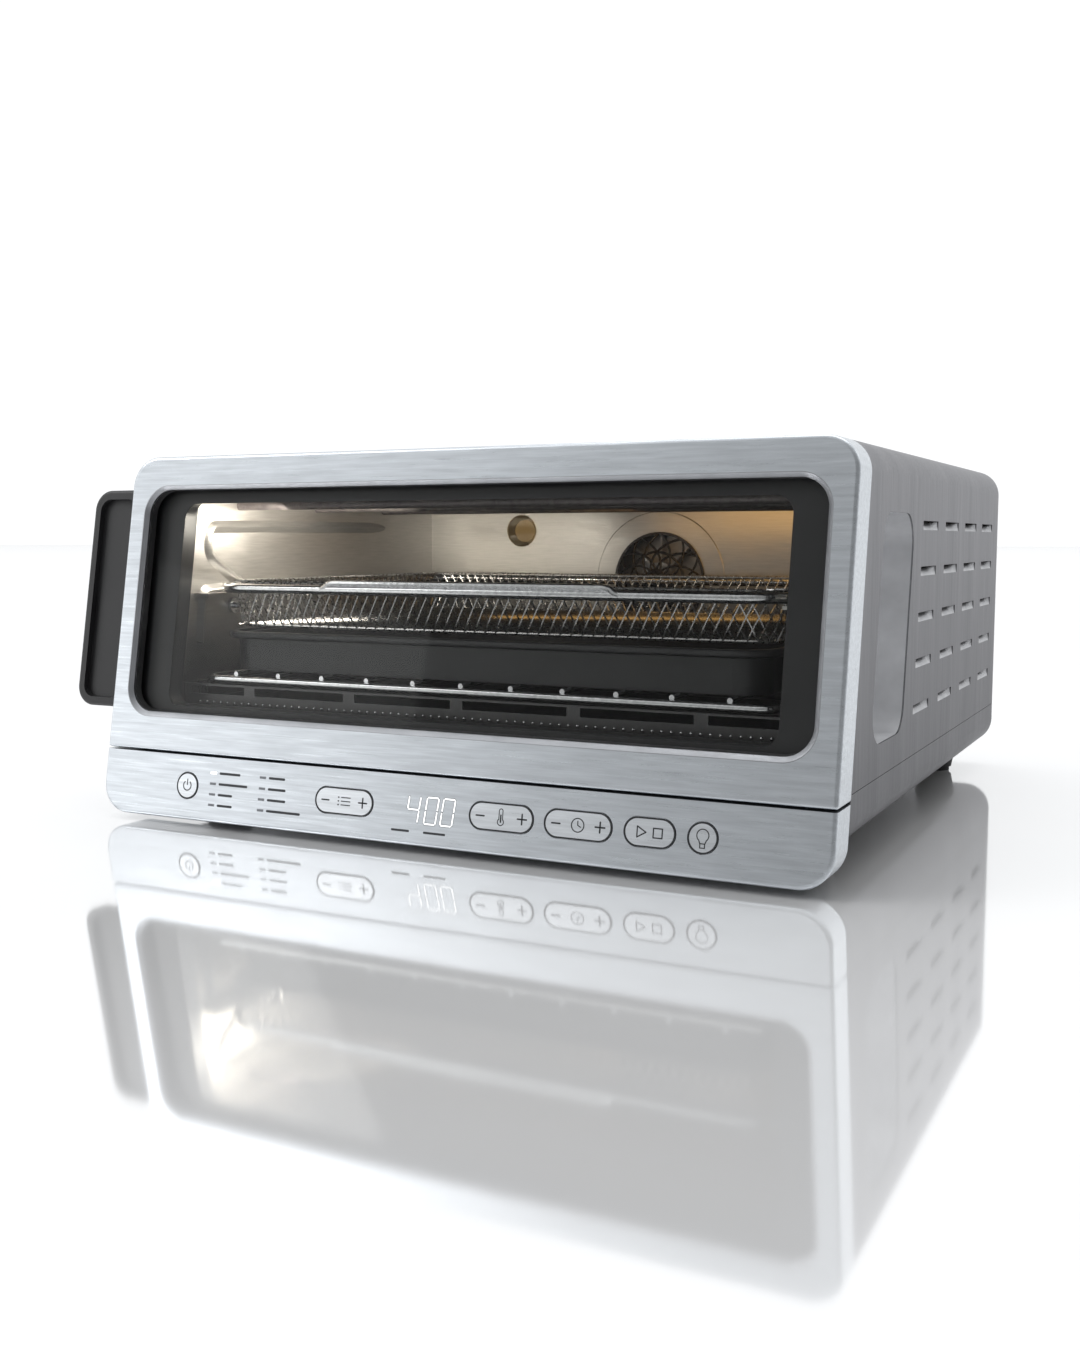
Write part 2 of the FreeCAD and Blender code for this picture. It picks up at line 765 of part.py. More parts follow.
CORD_X = "-178"
CORD_Z = "44"


def rear_hardware():
    screws = []
    for x, z in REAR_SCREWS:
        shank = rod("rear_shank", "1.9", "8 + panel_thick", x, "case_back - 8", z, ALONG_Y)
        head = rod("rear_head", "3.8", "2", x, "case_back + panel_thick", z, ALONG_Y)
        screws.append(fused("rear_screw", [shank, head]))
    node(separate("rear_screws", screws), "rear_screws")
    posts = [rod("rear_post", "13", "spacer", x, "case_back + panel_thick", "180", ALONG_Y)
             for x in ("-165", "165")]
    node(separate("rear_spacers", posts), "rear_spacers")
    sleeve = rod("gland_sleeve", "8", "panel_thick + 6", CORD_X, "case_back - 6", CORD_Z,
                 ALONG_Y)
    collar = rod("gland_collar", "11", "3.5", CORD_X, "case_back + panel_thick", CORD_Z, ALONG_Y)
    bore = rod("gland_bore", "3.6", "30", CORD_X, "case_back - 10", CORD_Z, ALONG_Y)
    node(cut("cord_gland", fused("gland_blank", [sleeve, collar]), [bore]), "cord_gland")


def grip_pockets():
    """Recessed hand grips behind the openings in both sides of the cover."""
    outside = "case_half - case_wall"
    floor_x = "case_half - case_wall - grip_deep"
    rim = grip_slot("grip_rim", "8", outside + " - 1", outside)
    cup = grip_slot("grip_cup", "1.2", floor_x, outside)
    space = grip_slot("grip_space", "0", floor_x + " + 1.2", outside + " + 5")
    right = cut("grip_pocket_right", fused("grip_blank", [rim, cup]), [space])
    node(right, "grip_pocket_right")
    node(mirrored("grip_pocket_left", right), "grip_pocket_left")


def front_frame():
    """Leaning frame behind the door, round the mouth of the cavity."""
    edge = ("case_half - case_wall - 0.4", "case_low + case_wall + 0.3",
            "front_top - case_wall - 0.4", "corner - case_wall - 0.4")
    mouth = ("cavity_half", "cavity_low", "cavity_top", "6")
    node(leaning_ring("mouth_ring", edge, mouth, "frame_front", "frame_front + frame_thick"),
         "front_frame")


def feet():
    """Four moulded feet with rubber pads under them."""
    corners = [(x, y) for x in ("-205", "205") for y in ("85", "438")]
    parts = []
    for x, y in corners:
        item = doc.addObject("Part::Cone", "foot")
        item.Radius1 = 12
        item.Radius2 = 15
        item.setExpression("Height", bound("case_low + floor_gap - 3"))
        parts.append(place(item, x, y, "3 - floor_gap"))
    node(separate("feet", parts), "feet")
    pads = [rod("foot_pad", "10.5", "3", x, y, "-floor_gap") for x, y in corners]
    node(separate("foot_pads", pads), "foot_pads")


# ---------------------------------------------------------------- cavity and its contents

FRAME_BACK = "frame_front + frame_thick"
HEATER_ROWS = tuple("heater_first + %d * heater_step" % row for row in range(3))


def upright_block(label, half, front, back, low, top, corner):
    """Block with rounded upright edges."""
    body = new_body(label)
    plan = rectangle("-(%s)" % half, half, front, back)
    pad(body, sketch(body, "XY_Plane", plan, low), "(%s) - (%s)" % (top, low))
    dress(body, "Fillet", corner,
          straight_edges(body.Tip.Shape, Z_AXIS, lambda point: True))
    return body


def cavity_panel(label, low, top, half):
    """Sheet whose front edge follows the leaning frame."""
    body = new_body(label)
    side = [(front_line(low, FRAME_BACK), low), ("cavity_back + liner", low),
            ("cavity_back + liner", top), (front_line(top, FRAME_BACK), top)]
    if half:
        pad(body, sketch(body, "YZ_Plane", side), "2 * (%s)" % half, both_ways=True)
    else:
        pad(body, sketch(body, "YZ_Plane", side, "cavity_half"), "liner")
    return body


def cavity_shell():
    wide = "cavity_half + liner"
    node(cavity_panel("floor_sheet", "cavity_low - liner", "cavity_low", wide), "cavity_floor")
    node(cavity_panel("ceiling_sheet", "cavity_top", "cavity_top + liner", wide),
         "cavity_ceiling")
    right = cavity_panel("side_sheet", "cavity_low", "cavity_top", None)
    node(right, "cavity_right_wall")
    node(mirrored("cavity_left_wall", right), "cavity_left_wall")
    sheet_back = block("back_sheet", ("-cavity_half", "cavity_half"),
                       ("cavity_back", "cavity_back + liner"), ("cavity_low", "cavity_top"))
    tools = [rod("fan_opening", "fan_radius + 4", "9", "0", "cavity_back - 4", "fan_level",
                 ALONG_Y),
             rod("lamp_opening", "lamp_radius", "9", "lamp_side", "cavity_back - 4",
                 "lamp_level", ALONG_Y)]
    node(cut("cavity_back_wall", sheet_back, tools), "cavity_back_wall")


def side_guides():
    """Pressed ledges on the side walls that carry the rack and the basket."""
    ledges = []
    for top in ("rack_level - rack_rod - 0.4", "basket_level - basket_rod - 0.4"):
        right = block("right_ledge", ("cavity_half - guide_deep", "cavity_half"),
                      ("rack_front + 6", "cavity_back - 6"), (top + " - 2", top))
        ledges += [right, mirrored("left_ledge", right)]
    node(separate("side_guides", ledges), "side_guides")


SILL_FRONT = "44.8"
SILL_TOP = "80.9"


def front_sill():
    """Slotted strip across the foot of the mouth, in front of the heaters."""
    strip = block("sill_strip", ("-cavity_half", "cavity_half"),
                  (SILL_FRONT, SILL_FRONT + " + liner"), ("cavity_low", SILL_TOP))
    tools = []
    for step in range(-2, 2):
        tools.append(block("sill_slot", ("%d * 77 + 4.2" % step, "%d * 77 + 72.8" % step),
                           ("40", "50"), (SILL_TOP + " - 6.6", SILL_TOP + " - 1.3")))
    for ends in (("158.2", "202"), ("-202", "-158.2")):
        tools.append(block("sill_slot", ends, ("40", "50"),
                           (SILL_TOP + " - 6.6", SILL_TOP + " - 1.3")))
    node(cut("front_sill", strip, tools), "front_sill")


def crumb_tray():
    outer = upright_block("tray_blank", "200", "54", "354", "cavity_low", "cavity_low + 4.5",
                          "10")
    inner = upright_block("tray_hollow", "198.8", "55.2", "352.8", "cavity_low + 1",
                          "cavity_low + 9", "8.8")
    node(cut("crumb_tray", outer, [inner]), "crumb_tray")


def wire_rack():
    """Flat rack: a bent frame rod with eleven wires welded across it."""
    parts = [rod_loop("rack_frame", "rack_half", "rack_front", "rack_back", "rack_level",
                      "rack_rod", "rack_bend")]
    for step in range(-5, 6):
        parts.append(rod("rack_wire", "wire", "rack_back - rack_front", "%d * wire_pitch" % step,
                         "rack_front", "rack_level + rack_rod + wire - 0.4", ALONG_Y))
    node(fused("wire_rack", parts), "wire_rack")


def level_edges(shape):
    """Edges of an upright block's flat top and underside."""
    box = shape.BoundBox
    names = []
    for number, edge in enumerate(shape.Edges, start=1):
        reach = edge.BoundBox
        if reach.ZLength < 1e-3 and min(reach.ZMin - box.ZMin, box.ZMax - reach.ZMax) < 1e-3:
            names.append("Edge%d" % number)
    return names


def rimmed_tray(stem, label):
    """Thin-walled tray hung by a flat flange inside a thick rim with a round outside."""
    half, front, back, low, level, radius, bend, inset, wall = (
        "%s_%s" % (stem, word) for word in ("half", "front", "back", "low", "level", "rod",
                                            "bend", "inset", "wall"))
    flange_low, flange_top = level + " - 0.7", level + " + 0.7"

    def layer(name, step, base, top):
        """Block whose outline is the rim's centre line moved inward by step."""
        return upright_block("%s_%s" % (stem, name), "%s - (%s)" % (half, step),
                             "%s + (%s)" % (front, step), "%s - (%s)" % (back, step),
                             base, top, "%s - (%s)" % (bend, step))

    outside = layer("rim", "-" + radius, "%s - %s" % (level, radius), "%s + %s" % (level, radius))
    dress(outside, "Fillet", radius + " - 0.2", level_edges(outside.Tip.Shape))
    rim = cut(stem + "_flanged_rim", outside,
              [layer("recess", radius, flange_top, level + " + 9"),
               layer("underside", radius, level + " - 9", flange_low)])
    tray = layer("tray", inset, low, flange_top)
    hollow = layer("hollow", "%s + %s" % (inset, wall), "%s + %s" % (low, wall), level + " + 9")
    node(cut(label, fused(stem + "_blank", [rim, tray]), [hollow]), label)


def heaters():
    """Straight heating rods across the cavity, with ceramic ends outside its walls."""
    for label, level in (("lower_heaters", "heater_low"), ("upper_heaters", "heater_high")):
        rods = [rod("heating_rod", "heater_rod", "2 * cavity_half", "-cavity_half", y, level,
                    ALONG_X) for y in HEATER_ROWS]
        node(separate(label, rods), label)
    ends = []
    for level in ("heater_low", "heater_high"):
        for y in HEATER_ROWS:
            for x in ("cavity_half + liner", "-cavity_half - liner - 4.6"):
                ends.append(rod("rod_end", "5", "4.6", x, y, level, ALONG_X))
    node(separate("heater_insulators", ends), "heater_insulators")


def ring_of_rods(label, circle, count, radius, start, length):
    """Bars along Y on a circle round the fan's axis."""
    parts = []
    for index in range(count):
        turn = "%d * 360 / %d" % (index, count)
        parts.append(rod(label, radius, length, "%s * cos(%s)" % (circle, turn), start,
                         "fan_level + %s * sin(%s)" % (circle, turn), ALONG_Y))
    return parts


HOUSING_DEEP = "31"
HOUSING_BACK = "cavity_back + liner + 31"
MOTOR_FRONT = "cavity_back + liner + 35"


def fan_group():
    """Grille, housing and motor of the convection fan."""
    disc = rod("grille_disc", "fan_radius + 10", "1.2", "0", "cavity_back - 1.2", "fan_level",
               ALONG_Y)
    tools = []
    for circle, count, radius in (("14", 8, "3"), ("25", 12, "4"), ("36", 16, "4.6")):
        tools += ring_of_rods("grille_hole", circle, count, radius, "cavity_back - 5", "12")
    node(cut("fan_grille", disc, tools), "fan_grille")
    cup = rod("housing_cup", "fan_radius + 10", HOUSING_DEEP, "0", "cavity_back + liner",
              "fan_level", ALONG_Y)
    inside = rod("housing_space", "fan_radius + 8.8", HOUSING_DEEP + " - 1.2 + 5", "0",
                 "cavity_back + liner - 5", "fan_level", ALONG_Y)
    shaft_hole = rod("housing_hole", "shaft_radius + 1.5", "20", "0", HOUSING_BACK + " - 10",
                     "fan_level", ALONG_Y)
    node(cut("fan_housing", cup, [inside, shaft_hole]), "fan_housing")
    posts = ring_of_rods("motor_post", "20", 3, "3", HOUSING_BACK, "5")
    motor = rod("motor_can", "27", "40", "0", MOTOR_FRONT, "fan_level", ALONG_Y)
    bearing = rod("motor_bore", "shaft_radius + pin_clearance", "18", "0", MOTOR_FRONT + " - 2",
                  "fan_level", ALONG_Y)
    node(cut("fan_motor", fused("motor_blank", [motor] + posts), [bearing]), "fan_motor")


def fan_blade(label, turn):
    """Flat radial blade standing on the fan's disc."""
    item = doc.addObject("Part::Box", label)
    item.setExpression("Length", bound("fan_radius - fan_hub - 2"))
    item.setExpression("Width", "13")
    item.setExpression("Height", "1.4")
    x = "(fan_hub - 1) * cos(%s) - 0.7 * sin(%s)" % (turn, turn)
    z = "fan_level - (fan_hub - 1) * sin(%s) - 0.7 * cos(%s)" % (turn, turn)
    return place(item, x, "cavity_back + liner + 8", z, (Y_AXIS, turn))


def convection_fan():
    start = "cavity_back + liner + 6"
    hub = rod("fan_boss", "fan_hub", "20", "0", start, "fan_level", ALONG_Y)
    disc = rod("fan_disc", "fan_radius - 1", "1.4", "0", start + " + 14", "fan_level", ALONG_Y)
    blades = [fan_blade("fan_blade", "%d * 45" % index) for index in range(8)]
    bore = rod("fan_bore", "shaft_radius", "40", "0", start + " - 2", "fan_level", ALONG_Y)
    node(cut("convection_fan", fused("fan_blank", [hub, disc] + blades), [bore]),
         "convection_fan")
    node(rod("fan_shaft", "shaft_radius", "43", "0", start, "fan_level", ALONG_Y), "fan_shaft")


def lamp_group():
    where = ("lamp_side", "cavity_back", "lamp_level")
    node(rod("lamp_lens", "lamp_radius", "liner + 1.6", where[0], where[1] + " - 1.6", where[2],
             ALONG_Y), "lamp_lens")
    cup = rod("lamp_cup", "lamp_radius + 4", "28", where[0], where[1] + " + liner", where[2],
              ALONG_Y)
    space = rod("lamp_space", "lamp_radius", "30", where[0], where[1] + " - 4", where[2],
                ALONG_Y)
    node(cut("lamp_housing", cup, [space]), "lamp_housing")
    node(rod("lamp_bulb", "lamp_radius - 4", "22 - liner", where[0], where[1] + " + liner + 4",
             where[2], ALONG_Y), "lamp_bulb")


PROBE_Y = "95"
PROBE_Z = "130"


def temperature_probe():
    boss = rod("probe_boss", "5.4", "2.5", "-cavity_half", PROBE_Y, PROBE_Z, ALONG_X)
    stem = rod("probe_stem", "2", "9", "-cavity_half", PROBE_Y, PROBE_Z, ALONG_X)
    node(fused("temperature_probe", [boss, stem]), "temperature_probe")


def inner_parts():
    node(block("ceiling_insulation", ("-200", "200"), ("90", "355"),
               ("cavity_top + liner", "cavity_top + liner + 9")), "ceiling_insulation")
    board = block("power_sheet", ("20", "190"), ("200", "330"), ("24", "25.6"))
    relay = block("relay", ("40", "70"), ("215", "245"), ("25.6", "44"))
    coil = block("transformer", ("100", "150"), ("230", "275"), ("25.6", "56"))
    store = rod("capacitor", "9", "24", "170", "300", "25.6")
    node(fused("power_board", [board, relay, coil, store]), "power_board")
    posts = [rod("board_post", "3", "24 - case_low - case_wall", x, y, "case_low + case_wall")
             for x in ("25", "185") for y in ("205", "325")]
    node(separate("board_posts", posts), "board_posts")


# ---------------------------------------------------------------- build, test and write

def build():
    door_front_plate()
    window_bezel()
    glass_gasket()
    door_glass()
    door_liner()
    door_handle()
    handle_screws()
    hinge_leaves()
    hinge_brackets()
    hinge_pins()
    control_panel_plate()
    keys()
    control_carrier()
    control_electronics()
    panel_back_cover()
    outer_cover()
    base_shell()
    rear_panel()
    rear_hardware()
    grip_pockets()
    front_frame()
    feet()
    cavity_shell()
    side_guides()
    front_sill()
    crumb_tray()
    wire_rack()
    rimmed_tray("pan", "sheet_pan")
    rimmed_tray("basket", "air_fry_basket")
    heaters()
    fan_group()
    convection_fan()
    lamp_group()
    temperature_probe()
    inner_parts()


def check():
    doc.recompute()
    for item in doc.Objects:
        if "Invalid" in item.State or "Error" in item.State:
            raise RuntimeError("%s failed: %s" % (item.Label, item.State))
    for label, item in NODES.items():
        if item.Shape.isNull() or not item.Shape.isValid() or not item.Shape.Solids:
            raise RuntimeError("%s has no valid shape" % label)


def write():
    os.makedirs("parts", exist_ok=True)
    for label, item in NODES.items():
        item.Shape.exportStep("parts/%s.step" % label)
    whole = FreeCAD.BoundBox()
    for label, item in sorted(NODES.items()):
        whole.add(item.Shape.BoundBox)
        print("%-22s %2d solid(s) %12.1f mm3" % (label, len(item.Shape.Solids),
                                                item.Shape.Volume))
    print("%d nodes, box %s" % (len(NODES), whole))


build()
check()
write()
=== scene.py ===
"""Looks of the countertop toaster oven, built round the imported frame.

Lengths below are in millimetres of the case frame: x from the middle of the front, y back from
the foot of the leaning front, z up from the front's lower edge. case() turns them into metres.
Sizes inside the materials, the room and its lights are in metres of the row frame.
"""
import json
import math

import bmesh
import bpy
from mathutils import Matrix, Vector


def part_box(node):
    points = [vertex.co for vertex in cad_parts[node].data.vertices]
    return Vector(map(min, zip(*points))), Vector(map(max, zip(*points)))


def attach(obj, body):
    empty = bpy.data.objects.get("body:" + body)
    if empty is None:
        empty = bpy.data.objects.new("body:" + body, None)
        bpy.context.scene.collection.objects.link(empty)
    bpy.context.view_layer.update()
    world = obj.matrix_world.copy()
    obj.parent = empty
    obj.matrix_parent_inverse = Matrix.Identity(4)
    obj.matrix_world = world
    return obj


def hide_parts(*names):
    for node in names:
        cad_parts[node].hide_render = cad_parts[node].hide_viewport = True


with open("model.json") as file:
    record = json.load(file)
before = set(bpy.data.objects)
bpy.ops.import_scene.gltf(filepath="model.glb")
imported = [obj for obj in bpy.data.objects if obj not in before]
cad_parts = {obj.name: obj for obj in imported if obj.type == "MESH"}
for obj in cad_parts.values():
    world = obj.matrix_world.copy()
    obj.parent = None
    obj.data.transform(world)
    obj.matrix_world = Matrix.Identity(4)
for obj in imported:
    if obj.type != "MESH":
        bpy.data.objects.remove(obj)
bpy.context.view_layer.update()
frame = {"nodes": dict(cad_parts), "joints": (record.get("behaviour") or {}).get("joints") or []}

MM = 0.001
LEAN = math.radians(9.9)
SLOPE = math.tan(LEAN)

# The hinge line lies this far above the foot of the front and this far behind the leaning plane.
HINGE_RISE = 44.6
HINGE_BACK = 3.2
hinge = next(joint for joint in frame["joints"] if joint["name"] == "door_hinge")
FOOT = Vector(hinge["pos_m"]) - Vector((0, SLOPE * HINGE_RISE + HINGE_BACK, HINGE_RISE)) * MM

# Keys: height of their row up the lean, and depth of their faces, which stand proud of the panel.
KEY_RISE = 21.7
KEY_FACE = -0.3
# Middle of each round key, and middle and half length of each long one.
ROUND_KEYS = {"power_key": -170.9, "light_key": 170.8}
LONG_KEYS = {"start_stop_key": (141.2, 14.6), "mode_rocker": (-52.6, 20.4),
             "temperature_rocker": (52.4, 20.2), "time_rocker": (99.5, 20.2)}
KEY_BODIES = {"power_key": "power_press", "light_key": "light_press",
              "start_stop_key": "start_press", "mode_rocker": "mode_rock",
              "temperature_rocker": "temperature_rock", "time_rocker": "time_rock"}


# ---------------------------------------------------------------- places

def case(x, y, z):
    """Row-frame point, in metres, of a place in the case frame."""
    return FOOT + Vector((x, y, z)) * MM


def on_front(x, z, back=0.0):
    """Point of the leaning front at height z, moved back by back."""
    return case(x, SLOPE * z + back, z)


def on_panel(x, rise, deep=0.0):
    """Point of the front measured up the lean, deep inward and square to it."""
    return case(x, deep * math.cos(LEAN) + rise * math.sin(LEAN),
                rise * math.cos(LEAN) - deep * math.sin(LEAN))


def turned(count, start=0.0, stop=2 * math.pi):
    """Evenly spaced angles, from start up to but not including stop."""
    return [start + (stop - start) * index / count for index in range(count)]


def rounded(left, right, low, top, corner, steps=8):
    """Anticlockwise points and outward normals of a rounded rectangle."""
    result = []
    for index, (across, up) in enumerate(((right, low), (right, top), (left, top), (left, low))):
        centre_x = across + (-corner if across == right else corner)
        centre_y = up + (-corner if up == top else corner)
        for step in range(steps + 1):
            angle = math.pi / 2 * (index - 1 + step / steps)
            normal = (math.cos(angle), math.sin(angle))
            result.append(((centre_x + corner * normal[0], centre_y + corner * normal[1]),
                           normal))
    return result


# ---------------------------------------------------------------- materials

class Look:
    """A node material under construction."""

    def __init__(self, name):
        self.material = bpy.data.materials.new(name)
        self.material.use_nodes = True
        self.tree = self.material.node_tree
        self.shader = self.tree.nodes["Principled BSDF"]

    def add(self, kind, inputs=None, **settings):
        item = self.tree.nodes.new("ShaderNode" + kind)
        for key, setting in settings.items():
            setattr(item, key, setting)
        for key, given in (inputs or {}).items():
            self.put(item.inputs[key], given)
        return item

    def put(self, socket, given):
        if isinstance(given, bpy.types.NodeSocket):
            self.tree.links.new(given, socket)
        else:
            socket.default_value = given

    def set(self, **inputs):
        for key, given in inputs.items():
            self.put(self.shader.inputs[key.replace("_", " ")], given)
        return self

    def place(self, stretch=(1, 1, 1)):
        """Object coordinates, in metres, stretched per axis."""
        where = self.add("TexCoord").outputs["Object"]
        return self.add("Mapping", {"Vector": where, "Scale": stretch}).outputs["Vector"]

    def noise(self, stretch, detail=4.0, rough=0.55):
        return self.add("TexNoise", {"Vector": self.place(stretch), "Scale": 1.0,
                                     "Detail": detail, "Roughness": rough}).outputs["Fac"]

    def span(self, source, low, high, start=0.3, stop=0.7):
        """Number that goes from low to high as source goes from start to stop."""
        return self.add("MapRange", {"Value": source, "From Min": start, "From Max": stop,
                                     "To Min": low, "To Max": high}).outputs["Result"]

    def blend(self, amount, first, second):
        item = self.add("Mix", data_type="RGBA")
        self.put(item.inputs["Factor"], amount)
        for socket, given in zip([each for each in item.inputs if each.type == "RGBA"],
                                 (first, second)):
            self.put(socket, given)
        return next(each for each in item.outputs if each.type == "RGBA")

    def mottle(self, source, first, second):
        """Colour that wanders from first to second as source does over its middle range."""
        return self.blend(self.span(source, 0.0, 1.0), first, second)

    def tones(self, source, colour, dark, light):
        """Colour that wanders between a darker and a lighter tone of itself."""
        return self.mottle(source, shade(colour, dark), shade(colour, light))

    def bump(self, height, distance, strength=1.0, normal=None):
        inputs = {"Height": height, "Distance": distance, "Strength": strength}
        if normal is not None:
            inputs["Normal"] = normal
        return self.add("Bump", inputs).outputs["Normal"]


def shade(colour, factor):
    return tuple(min(1.0, part * factor) for part in colour[:3]) + (1.0,)


# Noise cells per metre along x, y and z for brushing that runs along x.
SCRATCHES = (22, 1100, 1100)
STREAKS = (30, 420, 420)


def brushed(name, colour, rough, depth):
    """Brushed steel: fine scratches from side to side over soft cloudy streaks."""
    look = Look(name)
    lines = look.noise(SCRATCHES, 5.0, 0.65)
    streaks = look.noise(STREAKS, 3.0, 0.5)
    tint = look.tones(streaks, colour, 0.86, 1.10)
    tint = look.blend(look.span(lines, 0.0, 0.5), tint, shade(colour, 0.76))
    look.set(Base_Color=tint, Metallic=1.0, Roughness=look.span(lines, rough - 0.05, rough + 0.1),
             Normal=look.bump(lines, depth, 0.6))
    return look.material


def sheet_metal(name, colour, rough=0.35, metal=1.0):
    """Plain rolled sheet with faint blotches and rolling marks."""
    look = Look(name)
    blotch = look.noise((40, 40, 40), 3.0)
    marks = look.noise((300, 900, 300), 3.0)
    look.set(Base_Color=look.tones(blotch, colour, 0.88, 1.08), Metallic=metal,
             Roughness=look.span(marks, rough - 0.06, rough + 0.1),
             Normal=look.bump(marks, 0.00002, 0.4))
    return look.material


def cover_steel():
    """Case sides and top: upright brushing, with painted shade that darkens the cover towards the
    foot of the case.
    """
    look = Look("cover_brushed_steel")
    low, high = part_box("outer_cover")
    lines = look.noise((1300, 1300, 12), 5.0, 0.65)
    streaks = look.noise((60, 60, 5), 3.0, 0.5)
    height = look.add("SeparateXYZ", {"Vector": look.place()}).outputs["Z"]
    # painted shade: rise goes from 0 at the foot of the cover to 1 at its top, and the colour
    # blends from the darker tone at the foot to the lighter one above, standing in for shade near
    # the floor
    rise = look.span(height, 0.0, 1.0, low.z, high.z)
    unshaded_tone = look.mottle(streaks, (0.38, 0.38, 0.392, 1), (0.45, 0.448, 0.46, 1))
    painted_shade_tone = look.mottle(streaks, (0.20, 0.20, 0.206, 1), (0.25, 0.249, 0.256, 1))
    tint = look.blend(rise, painted_shade_tone, unshaded_tone)
    look.set(Base_Color=look.blend(look.span(lines, 0.0, 0.4), tint, (0.19, 0.19, 0.196, 1)),
             Metallic=1.0, Specular_Tint=(0.55, 0.55, 0.56, 1),
             Roughness=look.span(lines, 0.27, 0.42), Normal=look.bump(lines, 0.00003, 0.6))
    return look.material


def grained_plastic(name, colour, rough=0.5, grain=1600.0, depth=0.00006):
    """Moulded plastic with a spark-eroded grain and slight sheen changes."""
    look = Look(name)
    cells = look.add("TexVoronoi", {"Vector": look.place((grain, grain, grain)), "Scale": 1.0},
                     feature="F1").outputs["Distance"]
    wear = look.noise((25, 25, 25), 3.0)
    look.set(Base_Color=look.tones(wear, colour, 0.85, 1.2),
             Roughness=look.span(wear, rough - 0.05, rough + 0.08),
             Normal=look.bump(cells, depth, 0.5))
    return look.material


def enamel(name, colour, rough=0.3):
    """Black baked enamel: smooth, with a slight orange-peel surface."""
    look = Look(name)
    peel = look.noise((700, 700, 700), 2.0)
    haze = look.noise((18, 18, 18), 3.0)
    look.set(Base_Color=look.tones(haze, colour, 0.8, 1.25),
             Roughness=look.span(haze, rough - 0.05, rough + 0.08),
             Normal=look.bump(peel, 0.00004, 0.5))
    return look.material


def cavity_metal():
    """Satin cavity sheet, with painted shade that darkens it towards the floor, under the basket.
    """
    look = Look("cavity_sheet")
    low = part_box("cavity_back_wall")[0]
    height = look.add("SeparateXYZ", {"Vector": look.place()}).outputs["Z"]
    # painted shade: rise goes from 0 at 20 mm above the foot of the back wall to 1 at 85 mm above
    # it, and the colour blends from the near-black tone below to the satin tone above
    rise = look.span(height, 0.0, 1.0, low.z + 0.02, low.z + 0.085)
    rub = look.noise((60, 60, 900), 4.0)
    shade_mottle = look.noise((28, 28, 28), 5.0, 0.6)
    unshaded_tone = look.mottle(rub, (0.50, 0.485, 0.46, 1), (0.60, 0.58, 0.55, 1))
    painted_floor_shade = look.mottle(shade_mottle, (0.06, 0.056, 0.055, 1), (0.13, 0.12, 0.115, 1))
    look.set(Base_Color=look.blend(rise, painted_floor_shade, unshaded_tone), Metallic=0.85,
             Roughness=look.span(rub, 0.28, 0.42), Normal=look.bump(rub, 0.00003, 0.4))
    return look.material


def bright_wire(name, colour, rough):
    """Drawn and plated wire with faint draw marks."""
    look = Look(name)
    marks = look.noise((500, 500, 500), 3.0)
    look.set(Base_Color=look.tones(marks, colour, 0.8, 1.1),
             Metallic=1.0, Roughness=look.span(marks, rough - 0.04, rough + 0.08),
             Normal=look.bump(marks, 0.00002, 0.3))
    return look.material


def heater_metal():
    """Heating rod sheath, blued and scaled by heat."""
    look = Look("heater_sheath")
    scale = look.noise((160, 160, 160), 5.0, 0.7)
    heat = look.noise((9, 40, 40), 2.0)
    grey = look.mottle(scale, (0.10, 0.09, 0.085, 1), (0.26, 0.24, 0.23, 1))
    look.set(Base_Color=look.blend(look.span(heat, 0.0, 0.5), grey, (0.16, 0.13, 0.15, 1)),
             Metallic=0.7, Roughness=look.span(scale, 0.42, 0.65),
             Normal=look.bump(scale, 0.00015, 0.6))
    return look.material


PANE_INDEX = 1.2


def pane(name, tint):
    """Flat glass: clear, with a mirror sheen that grows at grazing angles.

    The index is below that of real glass, to keep the room's mirror image faint.
    """
    look = Look(name)
    smear = look.noise((14, 14, 30), 3.0)
    clear = look.add("BsdfTransparent", {"Color": tint})
    gloss = look.add("BsdfGlossy", {"Color": (1, 1, 1, 1),
                                    "Roughness": look.span(smear, 0.01, 0.05)})
    amount = look.add("Fresnel", {"IOR": PANE_INDEX}).outputs["Fac"]
    mix = look.add("MixShader", {0: amount, 1: clear.outputs["BSDF"], 2: gloss.outputs["BSDF"]})
    look.tree.links.new(mix.outputs["Shader"], look.tree.nodes["Material Output"].inputs[0])
    look.tree.nodes.remove(look.shader)
    return look.material


def glowing(name, colour, strength, base=(0.9, 0.9, 0.9)):
    """Moulded light pipe or lamp part that gives off light unevenly."""
    look = Look(name)
    cloud = look.noise((400, 400, 400), 2.0)
    look.set(Base_Color=look.tones(cloud, base, 0.9, 1.0), Roughness=0.35,
             Emission_Color=look.tones(cloud, colour, 0.92, 1.0), Emission_Strength=strength)
    return look.material


def print_ink(name, colour):
    """Screen-printed mark with slightly uneven cover."""
    look = Look(name)
    cover = look.noise((3000, 3000, 3000), 2.0)
    look.set(Base_Color=look.tones(cover, colour, 0.8, 1.3),
             Roughness=look.span(cover, 0.4, 0.55), Normal=look.bump(cover, 0.00001, 0.4))
    return look.material


def circuit_board():
    """Green solder mask over copper tracks, with drilled pads."""
    look = Look("circuit_board")
    tracks = look.add("TexBrick", {"Vector": look.place((260, 260, 260)), "Scale": 1.0,
                                   "Mortar Size": 0.08, "Color1": (0.02, 0.16, 0.07, 1),
                                   "Color2": (0.025, 0.2, 0.09, 1),
                                   "Mortar": (0.05, 0.32, 0.14, 1)})
    pads = look.add("TexVoronoi", {"Vector": look.place((320, 320, 320)),
                                   "Scale": 1.0}).outputs["Distance"]
    look.set(Base_Color=look.blend(look.span(pads, 1.0, 0.0, 0.12, 0.16),
                                   tracks.outputs["Color"], (0.75, 0.72, 0.62, 1)),
             Roughness=look.span(pads, 0.25, 0.4, 0.0, 0.5),
             Normal=look.bump(tracks.outputs["Fac"], 0.00008, 0.5))
    return look.material


